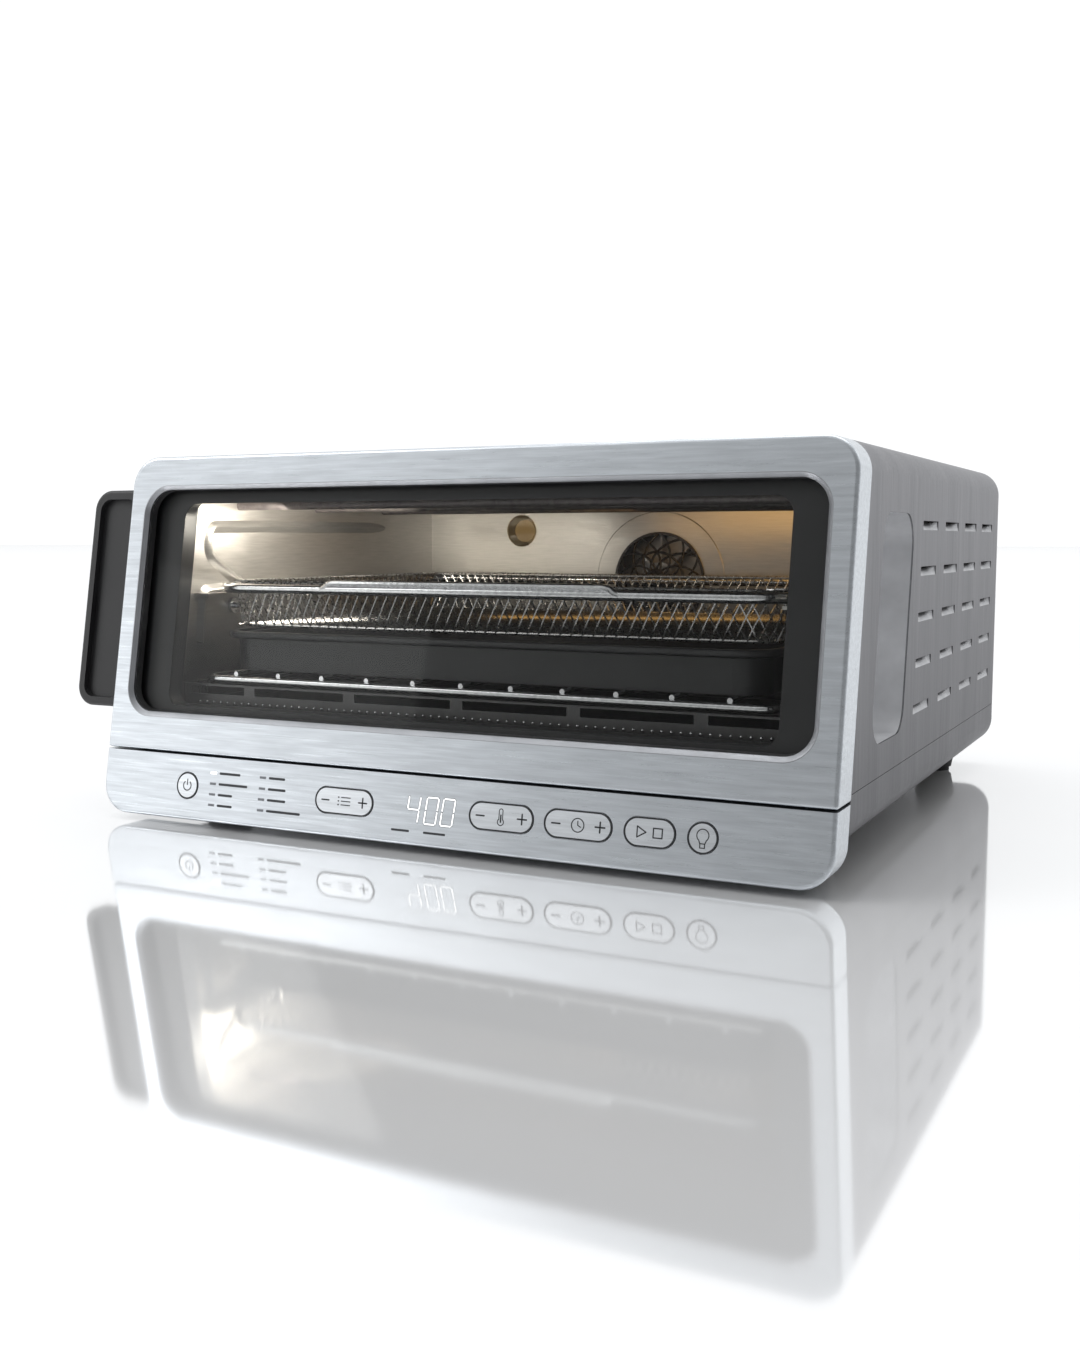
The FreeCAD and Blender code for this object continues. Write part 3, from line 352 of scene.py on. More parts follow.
def ceramic():
    """Glazed white body of the heaters' insulators."""
    look = Look("glazed_ceramic")
    spots = look.noise((500, 500, 500), 4.0)
    look.set(Base_Color=look.mottle(spots, (0.72, 0.69, 0.62, 1), (0.86, 0.84, 0.79, 1)),
             Roughness=look.span(spots, 0.15, 0.35), Normal=look.bump(spots, 0.00005, 0.4))
    return look.material


def wool():
    """Pressed mat of pale fibres."""
    look = Look("glass_wool")
    fibres = look.noise((220, 900, 900), 6.0, 0.75)
    look.set(Base_Color=look.mottle(fibres, (0.42, 0.40, 0.32, 1), (0.80, 0.78, 0.70, 1)),
             Roughness=0.95, Normal=look.bump(fibres, 0.0012, 0.8))
    return look.material


def rubber(name):
    """Black rubber with patches of pale dust."""
    look = Look(name)
    grain = look.noise((1800, 1800, 1800), 3.0)
    dust = look.noise((60, 60, 60), 4.0)
    look.set(Base_Color=look.blend(look.span(dust, 0.0, 0.4, 0.45, 0.8), (0.018, 0.018, 0.019, 1),
                                   (0.10, 0.10, 0.10, 1)),
             Roughness=look.span(grain, 0.6, 0.8), Normal=look.bump(grain, 0.00008, 0.5))
    return look.material


FRONT_STEEL = brushed("front_brushed_steel", (0.63, 0.665, 0.70), 0.30, 0.00006)
KEY_STEEL = brushed("key_brushed_steel", (0.74, 0.77, 0.80), 0.32, 0.00003)
COVER_STEEL = cover_steel()
REAR_STEEL = sheet_metal("rear_sheet_steel", (0.42, 0.42, 0.425), 0.38)
POCKET_STEEL = sheet_metal("pocket_steel", (0.72, 0.725, 0.74), 0.42, 0.5)
LIP_STEEL = sheet_metal("louvre_steel", (0.54, 0.545, 0.56), 0.45, 0.7)
TRIM_STEEL = sheet_metal("trim_steel", (0.40, 0.41, 0.43), 0.34)
BRIGHT_STEEL = bright_wire("bright_steel", (0.75, 0.76, 0.78), 0.16)
INNER_STEEL = sheet_metal("zinc_sheet", (0.50, 0.50, 0.51), 0.4)
CAVITY = cavity_metal()
CHROME_WIRE = bright_wire("chrome_wire", (0.72, 0.72, 0.73), 0.14)
MESH_WIRE = bright_wire("basket_wire", (0.50, 0.49, 0.48), 0.26)
TRAY_METAL = sheet_metal("tray_metal", (0.10, 0.098, 0.098), 0.34, 0.6)
BLACK_ENAMEL = enamel("black_enamel", (0.016, 0.016, 0.017), 0.32)
GUARD_METAL = sheet_metal("guard_metal", (0.045, 0.043, 0.042), 0.4, 0.7)
FRIT = enamel("window_frit", (0.022, 0.022, 0.023), 0.4)
BLACK_PLASTIC = grained_plastic("handle_plastic", (0.014, 0.014, 0.015), 0.42)
DARK_MOULDING = grained_plastic("dark_moulding", (0.02, 0.02, 0.021), 0.55, 900.0)
SWITCH_PLASTIC = grained_plastic("switch_plastic", (0.12, 0.12, 0.125), 0.45)
SMOKED_LENS = enamel("smoked_lens", (0.03, 0.032, 0.035), 0.12)
WINDOW_PANE = pane("window_pane", (0.93, 0.935, 0.93, 1))
LENS_PANE = pane("lamp_lens_glass", (0.9, 0.82, 0.66, 1))
LAMP_GLOW = glowing("lamp_glow", (1.0, 0.74, 0.40), 0.1, (0.45, 0.42, 0.36))
DIGIT_GLOW = glowing("digit_glow", (0.95, 0.98, 1.0), 0.9)
LIT_LIGHT = glowing("lit_light", (0.95, 0.98, 1.0), 1.6)
DARK_LIGHT = glowing("unlit_light", (0.5, 0.52, 0.55), 0.0, (0.22, 0.23, 0.25))
INK = print_ink("key_ink", (0.012, 0.013, 0.016))
GREY_INK = print_ink("label_ink", (0.03, 0.032, 0.036))
BOARD = circuit_board()
HEATER = heater_metal()
CERAMIC = ceramic()
WOOL = wool()
MOTOR_METAL = sheet_metal("motor_metal", (0.30, 0.30, 0.31), 0.45, 0.8)
PAN_COATING = enamel("pan_coating", (0.020, 0.020, 0.021), 0.34)
GASKET = rubber("gasket_rubber")
FOOT_RUBBER = rubber("foot_rubber")

CAD_LOOKS = {
    "door_front_plate": FRONT_STEEL, "control_panel_plate": FRONT_STEEL,
    "door_glass": WINDOW_PANE, "door_liner": BLACK_ENAMEL, "glass_gasket": GASKET,
    "door_handle": BLACK_PLASTIC, "handle_screws": INNER_STEEL, "hinge_leaves": INNER_STEEL,
    "hinge_brackets": INNER_STEEL, "hinge_pins": BRIGHT_STEEL, "window_bezel": BRIGHT_STEEL,
    "control_carrier": DARK_MOULDING, "control_board": BOARD, "tact_switches": SWITCH_PLASTIC,
    "display_module": SMOKED_LENS, "mode_lights": DARK_LIGHT, "panel_back_cover": DARK_MOULDING,
    "outer_cover": COVER_STEEL, "base_shell": COVER_STEEL, "rear_panel": REAR_STEEL,
    "rear_screws": BRIGHT_STEEL, "rear_spacers": DARK_MOULDING, "cord_gland": DARK_MOULDING,
    "grip_pocket_right": POCKET_STEEL, "grip_pocket_left": POCKET_STEEL,
    "front_frame": BLACK_ENAMEL, "feet": DARK_MOULDING, "foot_pads": FOOT_RUBBER,
    "cavity_floor": CAVITY, "cavity_ceiling": CAVITY, "cavity_right_wall": CAVITY,
    "cavity_left_wall": CAVITY, "cavity_back_wall": CAVITY, "side_guides": CAVITY,
    "front_sill": TRAY_METAL, "crumb_tray": TRAY_METAL, "lower_heaters": HEATER,
    "upper_heaters": HEATER, "heater_insulators": CERAMIC, "fan_grille": BLACK_ENAMEL,
    "fan_housing": INNER_STEEL, "fan_motor": MOTOR_METAL, "convection_fan": INNER_STEEL,
    "fan_shaft": BRIGHT_STEEL, "lamp_lens": LENS_PANE, "lamp_housing": INNER_STEEL,
    "lamp_bulb": LAMP_GLOW, "temperature_probe": BRIGHT_STEEL, "ceiling_insulation": WOOL,
    "power_board": BOARD, "board_posts": DARK_MOULDING, "power_key": KEY_STEEL,
    "light_key": KEY_STEEL, "start_stop_key": KEY_STEEL, "mode_rocker": KEY_STEEL,
    "temperature_rocker": KEY_STEEL, "time_rocker": KEY_STEEL, "wire_rack": CHROME_WIRE,
    "air_fry_basket": MESH_WIRE, "sheet_pan": PAN_COATING,
}


def dress_cad_nodes():
    """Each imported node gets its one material."""
    for name, item in frame["nodes"].items():
        item.data.materials.clear()
        item.data.materials.append(CAD_LOOKS[name])


# ---------------------------------------------------------------- mesh building

SHARP_TURN = math.radians(35)


def smooth_edges(mesh):
    """Smooth faces, with a sharp edge wherever the surface turns by SHARP_TURN or more."""
    work = bmesh.new()
    work.from_mesh(mesh)
    bmesh.ops.recalc_face_normals(work, faces=work.faces)
    for face in work.faces:
        face.smooth = True
    for edge in work.edges:
        edge.smooth = len(edge.link_faces) == 2 and edge.calc_face_angle(0) < SHARP_TURN
    work.to_mesh(mesh)
    work.free()


def piece(name, points, faces, material, body, replaced=()):
    """A finished mesh that rides on a body; replaced lists the CAD nodes it stands for."""
    mesh = bpy.data.meshes.new(name)
    mesh.from_pydata([tuple(point) for point in points], [], faces)
    mesh.validate()
    smooth_edges(mesh)
    item = bpy.data.objects.new(name, mesh)
    bpy.context.scene.collection.objects.link(item)
    mesh.materials.append(material)
    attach(item, body)
    if replaced:
        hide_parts(*replaced)
    return item


class Parts:
    """Points and faces gathered for one piece."""

    def __init__(self):
        self.points = []
        self.faces = []

    def grid(self, rows, closed_rows=False, closed_columns=False):
        """Quads between equal rows of points."""
        start = len(self.points)
        width = len(rows[0])
        for row in rows:
            self.points.extend(row)
        for i in range(len(rows) if closed_rows else len(rows) - 1):
            for j in range(width if closed_columns else width - 1):
                a = start + i * width
                b = start + (i + 1) % len(rows) * width
                k = (j + 1) % width
                self.faces.append((a + j, a + k, b + k, b + j))
        return start

    def tube(self, path, radius, sides=8, closed=False, capped=True):
        """Round rod along a path of points."""
        count = len(path)
        normal = None
        rows = []
        for index in range(count):
            before = path[index - 1] if closed or index else path[0]
            after = path[(index + 1) % count] if closed or index < count - 1 else path[-1]
            along = (after - before).normalized()
            if normal is None:
                guess = Vector((0, 0, 1)) if abs(along.z) < 0.9 else Vector((1, 0, 0))
                normal = along.cross(guess).normalized()
            normal = (normal - along * normal.dot(along)).normalized()
            side = along.cross(normal)
            rows.append([path[index] + (normal * math.cos(a) + side * math.sin(a)) * radius
                         for a in turned(sides)])
        start = self.grid(rows, closed_rows=closed, closed_columns=True)
        if capped and not closed:
            self.faces.append(tuple(range(start + sides - 1, start - 1, -1)))
            last = start + (count - 1) * sides
            self.faces.append(tuple(range(last, last + sides)))

    def slab(self, outline, place, near, far, rim=0.0):
        """Closed plate: a flat outline placed at two depths, with an optional eased rim."""
        levels = [(rim, near), (0.0, near + rim), (0.0, far)] if rim else [(0.0, near),
                                                                          (0.0, far)]
        rows = [[place(x - n[0] * inset, z - n[1] * inset, depth)
                 for (x, z), n in outline] for inset, depth in levels]
        start = self.grid(rows, closed_columns=True)
        width = len(outline)
        last = start + (len(rows) - 1) * width
        self.faces.append(tuple(range(start + width - 1, start - 1, -1)))
        self.faces.append(tuple(range(last, last + width)))

    def ring(self, outline, place, profile):
        """Closed frame: a profile of (inset, depth) pairs carried round an outline."""
        rows = [[place(x - n[0] * inset, z - n[1] * inset, depth)
                 for inset, depth in profile] for (x, z), n in outline]
        self.grid(rows, closed_rows=True, closed_columns=True)

    def ball(self, centre, radius, axis, sides=8, rings=3):
        """Dome on a surface: half a ball whose top points along axis."""
        across = axis.orthogonal().normalized()
        other = axis.cross(across)
        rows = []
        for ring in range(rings):
            angle = math.pi / 2 * ring / rings
            rows.append([centre + (across * math.cos(a) + other * math.sin(a))
                         * radius * math.cos(angle) + axis * radius * math.sin(angle)
                         for a in turned(sides)])
        start = self.grid(rows, closed_columns=True)
        self.points.append(centre + axis * radius)
        top = len(self.points) - 1
        last = start + (rings - 1) * sides
        for j in range(sides):
            self.faces.append((last + j, last + (j + 1) % sides, top))
        self.faces.append(tuple(range(start + sides - 1, start - 1, -1)))

    def finish(self, name, material, body, replaced=()):
        return piece(name, self.points, self.faces, material, body, replaced)


# ---------------------------------------------------------------- door

WINDOW = rounded(-227.8, 227.8, 62.1, 209.8, 19.0, 12)
GLASS_EDGE = rounded(-230.5, 230.5, 59.6, 212.4, 8.0, 12)
CLEAR_WINDOW = rounded(-203.5, 203.5, 67.4, 198.0, 10.0, 12)
TRIM_SECTION = [(0.0, 0.0), (0.0, 4.0), (3.0, 4.0), (3.0, 2.3), (2.6, 1.8), (0.5, 0.0)]
GLASS_BACK = 12.2
FRIT_BACK = 12.45


def window_trim():
    """Steel rim of the window: a narrow flat land, a bevel and an inner wall."""
    parts = Parts()
    parts.ring(WINDOW, on_front, TRIM_SECTION)
    return parts.finish("window_trim", TRIM_STEEL, "door", ["window_bezel"])


def window_border():
    """Dark printed border inside the glass, open over the clear window."""
    section = ((GLASS_EDGE, GLASS_BACK), (GLASS_EDGE, FRIT_BACK), (CLEAR_WINDOW, FRIT_BACK),
               (CLEAR_WINDOW, GLASS_BACK))
    parts = Parts()
    parts.grid([[on_front(x, z, depth) for (x, z), _ in outline] for outline, depth in section],
               closed_rows=True, closed_columns=True)
    return parts.finish("window_border", FRIT, "door")


# ---------------------------------------------------------------- keys and marks

INK_THICK = 0.06
OUTLINE_WIDTH = 0.85
ROUND_KEY_REACH = 8.3
LONG_KEY_REACH = 7.9

# Marks of the key signs, in order. A line is its width and the points that it joins. An arc has
# its width, its centre, its radius, the angles where it starts and stops, and its steps. Places
# are measured from the middle of the key.
ENDS = [("line", 0.9, (-15.6, 0), (-10.6, 0)), ("line", 0.9, (10.4, 0), (16.0, 0)),
        ("line", 0.9, (13.2, -2.8), (13.2, 2.8))]
POWER_SIGN = [("arc", 0.7, (0, 0), 3.0, 125, 415, 20), ("line", 0.7, (0, 0.6), (0, 3.9))]
BULB_SIGN = [("arc", 0.55, (0, 1.3), 3.3, -50, 230, 20),
             ("line", 0.55, (-2.1, -1.2), (-1.4, -3.0)), ("line", 0.55, (2.1, -1.2), (1.4, -3.0)),
             ("line", 0.55, (-1.4, -3.0), (1.4, -3.0)), ("line", 0.55, (-1.3, -3.0), (-1.3, -5.2)),
             ("line", 0.55, (1.3, -3.0), (1.3, -5.2)), ("line", 0.55, (-1.3, -5.2), (1.3, -5.2))]
RUN_AND_STOP_SIGN = [("line", 0.7, (-7.0, -2.9), (-7.0, 2.9), (-2.0, 0), (-7.0, -2.9)),
                     ("line", 0.7, (2.2, -2.5), (7.2, -2.5), (7.2, 2.5), (2.2, 2.5), (2.2, -2.5))]
LIST_SIGN = [mark for z in (-2.2, 0, 2.2) for mark in (("line", 0.8, (-4.0, z), (-3.6, z)),
                                                       ("line", 0.6, (-1.8, z), (4.4, z)))]
THERMOMETER_SIGN = [("arc", 0.55, (0, -2.6), 1.9, -230, 50, 20),
                    ("line", 0.5, (-1.15, -1.2), (-1.15, 3.6)),
                    ("line", 0.5, (1.15, -1.2), (1.15, 3.6)),
                    ("arc", 0.5, (0, 3.6), 1.15, 0, 180, 8), ("line", 0.9, (0, -2.6), (0, 1.2))]
CLOCK_SIGN = [("arc", 0.6, (0, 0), 3.7, 0, 360, 28), ("line", 0.55, (0, 0), (0, 2.3)),
              ("line", 0.55, (0, 0), (1.8, -0.9))]
SIGNS = {"power_key": POWER_SIGN, "light_key": BULB_SIGN, "start_stop_key": RUN_AND_STOP_SIGN,
         "mode_rocker": ENDS + LIST_SIGN, "temperature_rocker": ENDS + THERMOMETER_SIGN,
         "time_rocker": ENDS + CLOCK_SIGN}


def stroke(parts, first, second, width, level, thick=INK_THICK, turns=6):
    """Printed bar with round ends between two panel points."""
    (x1, z1), (x2, z2) = first, second
    angle = math.atan2(z2 - z1, x2 - x1)
    outline = []
    for (cx, cz), start in (((x2, z2), angle - math.pi / 2), ((x1, z1), angle + math.pi / 2)):
        for step in range(turns + 1):
            a = start + math.pi * step / turns
            outline.append(((cx + math.cos(a) * width / 2, cz + math.sin(a) * width / 2),
                            (math.cos(a), math.sin(a))))
    parts.slab(outline, on_panel, level - thick, level)


def arc(parts, centre, radius, start, stop, width, steps):
    """Printed part of a circle on a key; angles in degrees."""
    outer, inner = radius + width / 2, radius - width / 2
    top = KEY_FACE - INK_THICK
    rows = []
    for step in range(steps + 1):
        a = math.radians(start + (stop - start) * step / steps)
        rows.append([on_panel(centre[0] + math.cos(a) * reach, centre[1] + math.sin(a) * reach,
                              depth)
                     for reach, depth in ((outer, KEY_FACE), (outer, top), (inner, top),
                                          (inner, KEY_FACE))])
    closed = abs(stop - start) >= 360
    start_at = parts.grid(rows[:-1] if closed else rows, closed_rows=closed, closed_columns=True)
    if not closed:
        parts.faces.append(tuple(range(start_at, start_at + 4)))
        last = start_at + (len(rows) - 1) * 4
        parts.faces.append(tuple(range(last + 3, last - 1, -1)))


def draw_sign(parts, x, marks):
    """The lines and arcs of one sign, round the middle of the key at x."""
    for kind, width, *shape in marks:
        if kind == "arc":
            (across, up), radius, start, stop, steps = shape
            arc(parts, (x + across, KEY_RISE + up), radius, start, stop, width, steps)
        else:
            points = [(x + across, KEY_RISE + up) for across, up in shape]
            for first, second in zip(points, points[1:]):
                stroke(parts, first, second, width, KEY_FACE)


def key_outline(name):
    """Middle of a key across the panel, and the outline of its face."""
    if name in ROUND_KEYS:
        x, half, reach, steps = ROUND_KEYS[name], ROUND_KEY_REACH, ROUND_KEY_REACH, 12
    else:
        x, half = LONG_KEYS[name]
        reach, steps = LONG_KEY_REACH, 10
    return x, rounded(x - half, x + half, KEY_RISE - reach, KEY_RISE + reach, reach - 0.01, steps)


def key_marks():
    """Dark outline and sign printed on each key."""
    ring = [(0.0, KEY_FACE), (0.0, KEY_FACE - INK_THICK), (OUTLINE_WIDTH, KEY_FACE - INK_THICK),
            (OUTLINE_WIDTH, KEY_FACE)]
    for name, body in KEY_BODIES.items():
        parts = Parts()
        x, outline = key_outline(name)
        parts.ring(outline, on_panel, ring)
        draw_sign(parts, x, SIGNS[name])
        parts.finish(name + "_marks", INK, body)


# Lit number: which bars of a seven-segment digit are lit, and where each digit starts.
SEGMENTS = {"4": "bcfg", "0": "abcdef"}
DIGITS = (("4", -9.2), ("0", 2.8), ("0", 13.6))
DIGIT_LOW = 13.6
DIGIT_WIDE = 7.6
DIGIT_HIGH = 15.2
DIGIT_SLANT = 0.10
BAR_GAP = 0.75


def segment_ends(letter, x, low, wide, high):
    """Ends of one bar of a seven-segment digit."""
    middle = low + high / 2
    corners = {"a": ((x, low + high), (x + wide, low + high)),
               "b": ((x + wide, low + high), (x + wide, middle)),
               "c": ((x + wide, middle), (x + wide, low)),
               "d": ((x, low), (x + wide, low)),
               "e": ((x, low), (x, middle)),
               "f": ((x, middle), (x, low + high)),
               "g": ((x, middle), (x + wide, middle))}
    (x1, z1), (x2, z2) = [(across + DIGIT_SLANT * (up - low), up)
                          for across, up in corners[letter]]
    trim = BAR_GAP / math.hypot(x2 - x1, z2 - z1)
    return ((x1 + (x2 - x1) * trim, z1 + (z2 - z1) * trim),
            (x2 - (x2 - x1) * trim, z2 - (z2 - z1) * trim))


def display_digits():
    """Lit number, drawn as thin bars on the panel's face, each over a wider dark edge."""
    parts = Parts()
    shadow = Parts()
    for digit, x in DIGITS:
        for letter in SEGMENTS[digit]:
            first, second = segment_ends(letter, x, DIGIT_LOW, DIGIT_WIDE, DIGIT_HIGH)
            stroke(parts, first, second, width=1.0, level=0.0, thick=0.05)
            stroke(shadow, first, second, width=1.55, level=0.0, thick=0.02)
    parts.finish("display_digits", DIGIT_GLOW, "case")
    shadow.finish("display_digit_edges", GREY_INK, "case")


# Printed bars: for each column of lights where it starts and how long its rows are, how far up the
# panel the rows stand, and where the bars under the number start and end.
LABEL_COLUMNS = {-146.6: (15.5, 21.5, 10.5, 11.0), -108.7: (11.5, 12.5, 13.0, 24.5)}
LABEL_ROWS = (31.0, 24.3, 17.7, 11.1)
UNDER_DIGITS = ((-18.0, -7.0), (3.6, 17.0))
UNDER_DIGITS_RISE = 8.6
LIT_MODE = (-151, 31)


def mode_labels():
    """Short printed bars beside the mode lights, and under the display."""
    parts = Parts()
    for start, lengths in LABEL_COLUMNS.items():
        for row, length in zip(LABEL_ROWS, lengths):
            stroke(parts, (start + 0.8, row), (start + length, row), 1.5, 0.0)
    for first, last in UNDER_DIGITS:
        stroke(parts, (first, UNDER_DIGITS_RISE), (last, UNDER_DIGITS_RISE), 1.3, 0.0)
    parts.finish("mode_labels", GREY_INK, "case")


def lit_mode():
    """The one mode light that is on."""
    x, rise = LIT_MODE
    parts = Parts()
    parts.slab(rounded(x - 2.4, x + 2.4, rise - 0.75, rise + 0.75, 0.3, 3), on_panel, -0.05, 0.0)
    parts.finish("lit_mode_light", LIT_LIGHT, "case")


# ---------------------------------------------------------------- cavity

# Basket: its rolled rim, the thinner rod that rises before the rim's front run, the crimped wire
# along the top of the mesh with the two straight wires that hold it, and the diamond mesh.
RIM_FRONT = 60.0
RIM_ROD = 3.2
RAISED_ROD = 2.1
RAISED_AHEAD = 1.2
RAISED_PATH = [(-107, 143.0), (-104, 144.0), (-101, 146.4), (-97, 147.4), (89, 147.4),
               (93, 146.4), (96, 144.0), (99, 143.0)]
CRIMP_STEP = 3.1
CRIMP_SWAY = 1.9
CRIMP_WIRE = 0.75
CRIMP_LEVEL = 147.2
HOLD_WIRE = 0.7
HOLD_REACH = 2.6
HOLD_LEVEL = 146.6
MESH_PITCH = 7.2
MESH_LOW = 118.6
MESH_TOP = 146.0
STRAND = 0.5
BOTTOM_RING = 1.1


def loop_path(half, front, back, bend, level):
    """Level closed path round a rectangle with round corners."""
    return [case(x, y, level) for (x, y), _ in rounded(-half, half, front, back, bend)]


def basket_rim():
    """Rolled rim, with a thinner raised rod before the middle of its front run."""
    parts = Parts()
    path = loop_path(half=196.5, front=RIM_FRONT, back=340.0, bend=26.0, level=143.0)
    parts.tube(path, RIM_ROD * MM, 12, closed=True)
    parts.tube([case(x, RIM_FRONT - RAISED_AHEAD, z) for x, z in RAISED_PATH], RAISED_ROD * MM,
               10)
    return parts.finish("basket_rim", CHROME_WIRE, "basket",
                        ["air_fry_basket"])


def basket_edge():
    """Crimped wire laid as a zigzag along the top of the mesh."""
    parts = Parts()
    outline = dense(rounded(-190.0, 190.0, 67.0, 333.0, 20.0, 6), CRIMP_STEP)
    path = []
    for index, ((x, y), n) in enumerate(outline):
        sway = CRIMP_SWAY if index % 2 else -CRIMP_SWAY
        path.append(case(x + n[0] * sway, y + n[1] * sway, CRIMP_LEVEL))
    parts.tube(path, CRIMP_WIRE * MM, 5, closed=True)
    for out in (HOLD_REACH, -HOLD_REACH):
        parts.tube([case(x + n[0] * out, y + n[1] * out, HOLD_LEVEL) for (x, y), n in outline],
                   HOLD_WIRE * MM, 5, closed=True)
    parts.finish("basket_edge", MESH_WIRE, "basket")


def dense(outline, step):
    """The outline again with points about step apart, an even number of them."""
    points = [Vector(point) for point, _ in outline]
    normals = [Vector(normal) for _, normal in outline]
    count = len(points)
    lengths = [(points[(i + 1) % count] - points[i]).length for i in range(count)]
    total = sum(lengths)
    pieces = int(total / step / 2) * 2
    result = []
    index = 0
    passed = 0.0
    for k in range(pieces):
        target = total * k / pieces
        while index < count - 1 and passed + lengths[index] < target:
            passed += lengths[index]
            index += 1
        share = (target - passed) / lengths[index] if lengths[index] > 1e-9 else 0.0
        nxt = (index + 1) % count
        result.append((tuple(points[index].lerp(points[nxt], share)),
                       tuple(normals[index].lerp(normals[nxt], share).normalized())))
    return result


def basket_walls():
    """Diamond mesh of the basket's sides: two families of slanted wires, drawn in at the foot."""
    drawn_in = 3.0
    outline = dense(rounded(-189.0, 189.0, 68.0, 332.0, 18.0), MESH_PITCH / 2)
    count = len(outline)
    levels = 4
    parts = Parts()
    for lean, depth in ((1, STRAND / 2), (-1, -STRAND / 2)):
        for start in range(0, count, 2):
            path = []
            for level in range(levels + 1):
                (x, y), n = outline[(start + lean * level) % count]
                draw = drawn_in * (1 - level / levels) ** 3
                z = MESH_LOW + (MESH_TOP - MESH_LOW) * level / levels
                path.append(case(x + n[0] * (depth - draw), y + n[1] * (depth - draw), z))
            parts.tube(path, STRAND * MM, 4, capped=False)
    parts.finish("basket_mesh_walls", MESH_WIRE, "basket")


def basket_floor():
    """Flat diamond mesh of the basket's floor, held in a bottom ring."""
    parts = Parts()
    half, front, back = 185.5, 71.5, 328.5
    deep = back - front
    slant = 0.55
    shortest = 3.0
    for lean in (1, -1):
        start = -half - deep * slant if lean > 0 else -half
        stop = half if lean > 0 else half + deep * slant
        steps = int((stop - start) / MESH_PITCH)
        for k in range(steps + 1):
            x = start + (stop - start) * k / steps
            reach = (-half - x) / (lean * slant), (half - x) / (lean * slant)
            low = max(0.0, min(reach))
            high = min(deep, max(reach))
            if high - low < shortest:
                continue
            level = MESH_LOW - 0.2 + 0.3 * lean
            parts.tube([case(x + lean * slant * low, front + low, level),
                        case(x + lean * slant * high, front + high, level)], STRAND * MM, 4,
                       capped=False)
    parts.tube(loop_path(half, front, back, 15.0, MESH_LOW), BOTTOM_RING * MM, 8, closed=True)
    parts.finish("basket_mesh_floor", MESH_WIRE, "basket")


# Wall ribs: their middle lines as (y, z), and their section as (reach across, height).
WALL_FACE = 207.0
RIB_LINES = [[(287, 184), (80, 184), (74, 182), (71, 176), (71, 168), (73, 163), (98, 147),
              (104, 146)],
             [(150, 141.5), (70, 141.5), (65, 139), (63, 134), (61, 112), (60, 106)],
             [(59, 66.5), (55.5, 70), (55.5, 76), (59, 79), (63, 76), (63, 66.5)]]
RIB_SECTION = ((-4.2, 0.0), (-3.0, 0.7), (-1.6, 2.2), (0.0, 2.8), (1.6, 2.2), (3.0, 0.7),
               (4.2, 0.0))


def wall_ribs():
    """Pressed stiffening ribs that stand out of both cavity walls, eased at their ends."""
    for side, name in ((-1, "left_wall_ribs"), (1, "right_wall_ribs")):
        parts = Parts()
        for line in RIB_LINES:
            path = smoothed([Vector(point) for point in line])
            rows = []
            for index, point in enumerate(path):
                before = path[max(index - 1, 0)]
                after = path[min(index + 1, len(path) - 1)]
                along = (after - before).normalized()
                across = Vector((-along.y, along.x))
                end = min(index, len(path) - 1 - index)
                ease = min(1.0, 0.25 + end * 0.25)
                rows.append([case(side * (WALL_FACE - high * ease),
                                  point.x + across.x * reach * ease,
                                  point.y + across.y * reach * ease)
                             for reach, high in RIB_SECTION])
            parts.grid(rows)
        parts.finish(name, CAVITY, "case")


def smoothed(points, rounds=3):
    """Path along the points with its corners cut, ends kept."""
    for _ in range(rounds):
        path = [points[0]]
        for first, second in zip(points, points[1:]):
            path += [first.lerp(second, 0.25), first.lerp(second, 0.75)]
        points = path + [points[-1]]
    return points


BEAD_COUNT = 69
BEAD_HALF_ROW = 194
BEAD_RADIUS = 1.15
AHEAD = Vector((0, -1, 0))


def sill_beads():
    """Row of small raised dots along the foot of the slotted sill."""
    parts = Parts()
    for index in range(BEAD_COUNT):
        x = -BEAD_HALF_ROW + 2 * BEAD_HALF_ROW * index / (BEAD_COUNT - 1)
        parts.ball(case(x, 44.8, 69.2), BEAD_RADIUS * MM, AHEAD)
    parts.finish("tray_beads", CHROME_WIRE, "case")


# Fan guard: middle, depth of the flange's face, reach of dome and flange, height of the dome, and
# the sections of the flange and of the dome's foot as (inset, depth).
GUARD_X = 3.0
GUARD_Z = 143.0
GUARD_FACE = 359.2
DOME_REACH = 37.0
DOME_HEIGHT = 9.0
FLANGE_REACH = 54.0
FLANGE_SECTION = [(0.0, 1.6), (0.0, 0.6), (0.6, 0.0), (16.0, 0.0), (17.0, -0.8), (17.0, 1.6)]
FOOT_SECTION = [(-0.8, 0.0), (-0.8, -1.8), (1.2, -1.8), (1.2, 0.0)]
HUB_RADIUS = 8.6


def on_guard(x, z, depth):
    return case(GUARD_X + x, GUARD_FACE + depth, GUARD_Z + z)


def on_dome(reach, angle):
    """Point of the dome: reach is 0 at its top and 1 at its foot."""
    return on_guard(DOME_REACH * reach * math.cos(angle), DOME_REACH * reach * math.sin(angle),
                    -DOME_HEIGHT * (1 - reach ** 2))


def disc(reach):
    return rounded(-reach, reach, -reach, reach, reach - 0.01, 16)


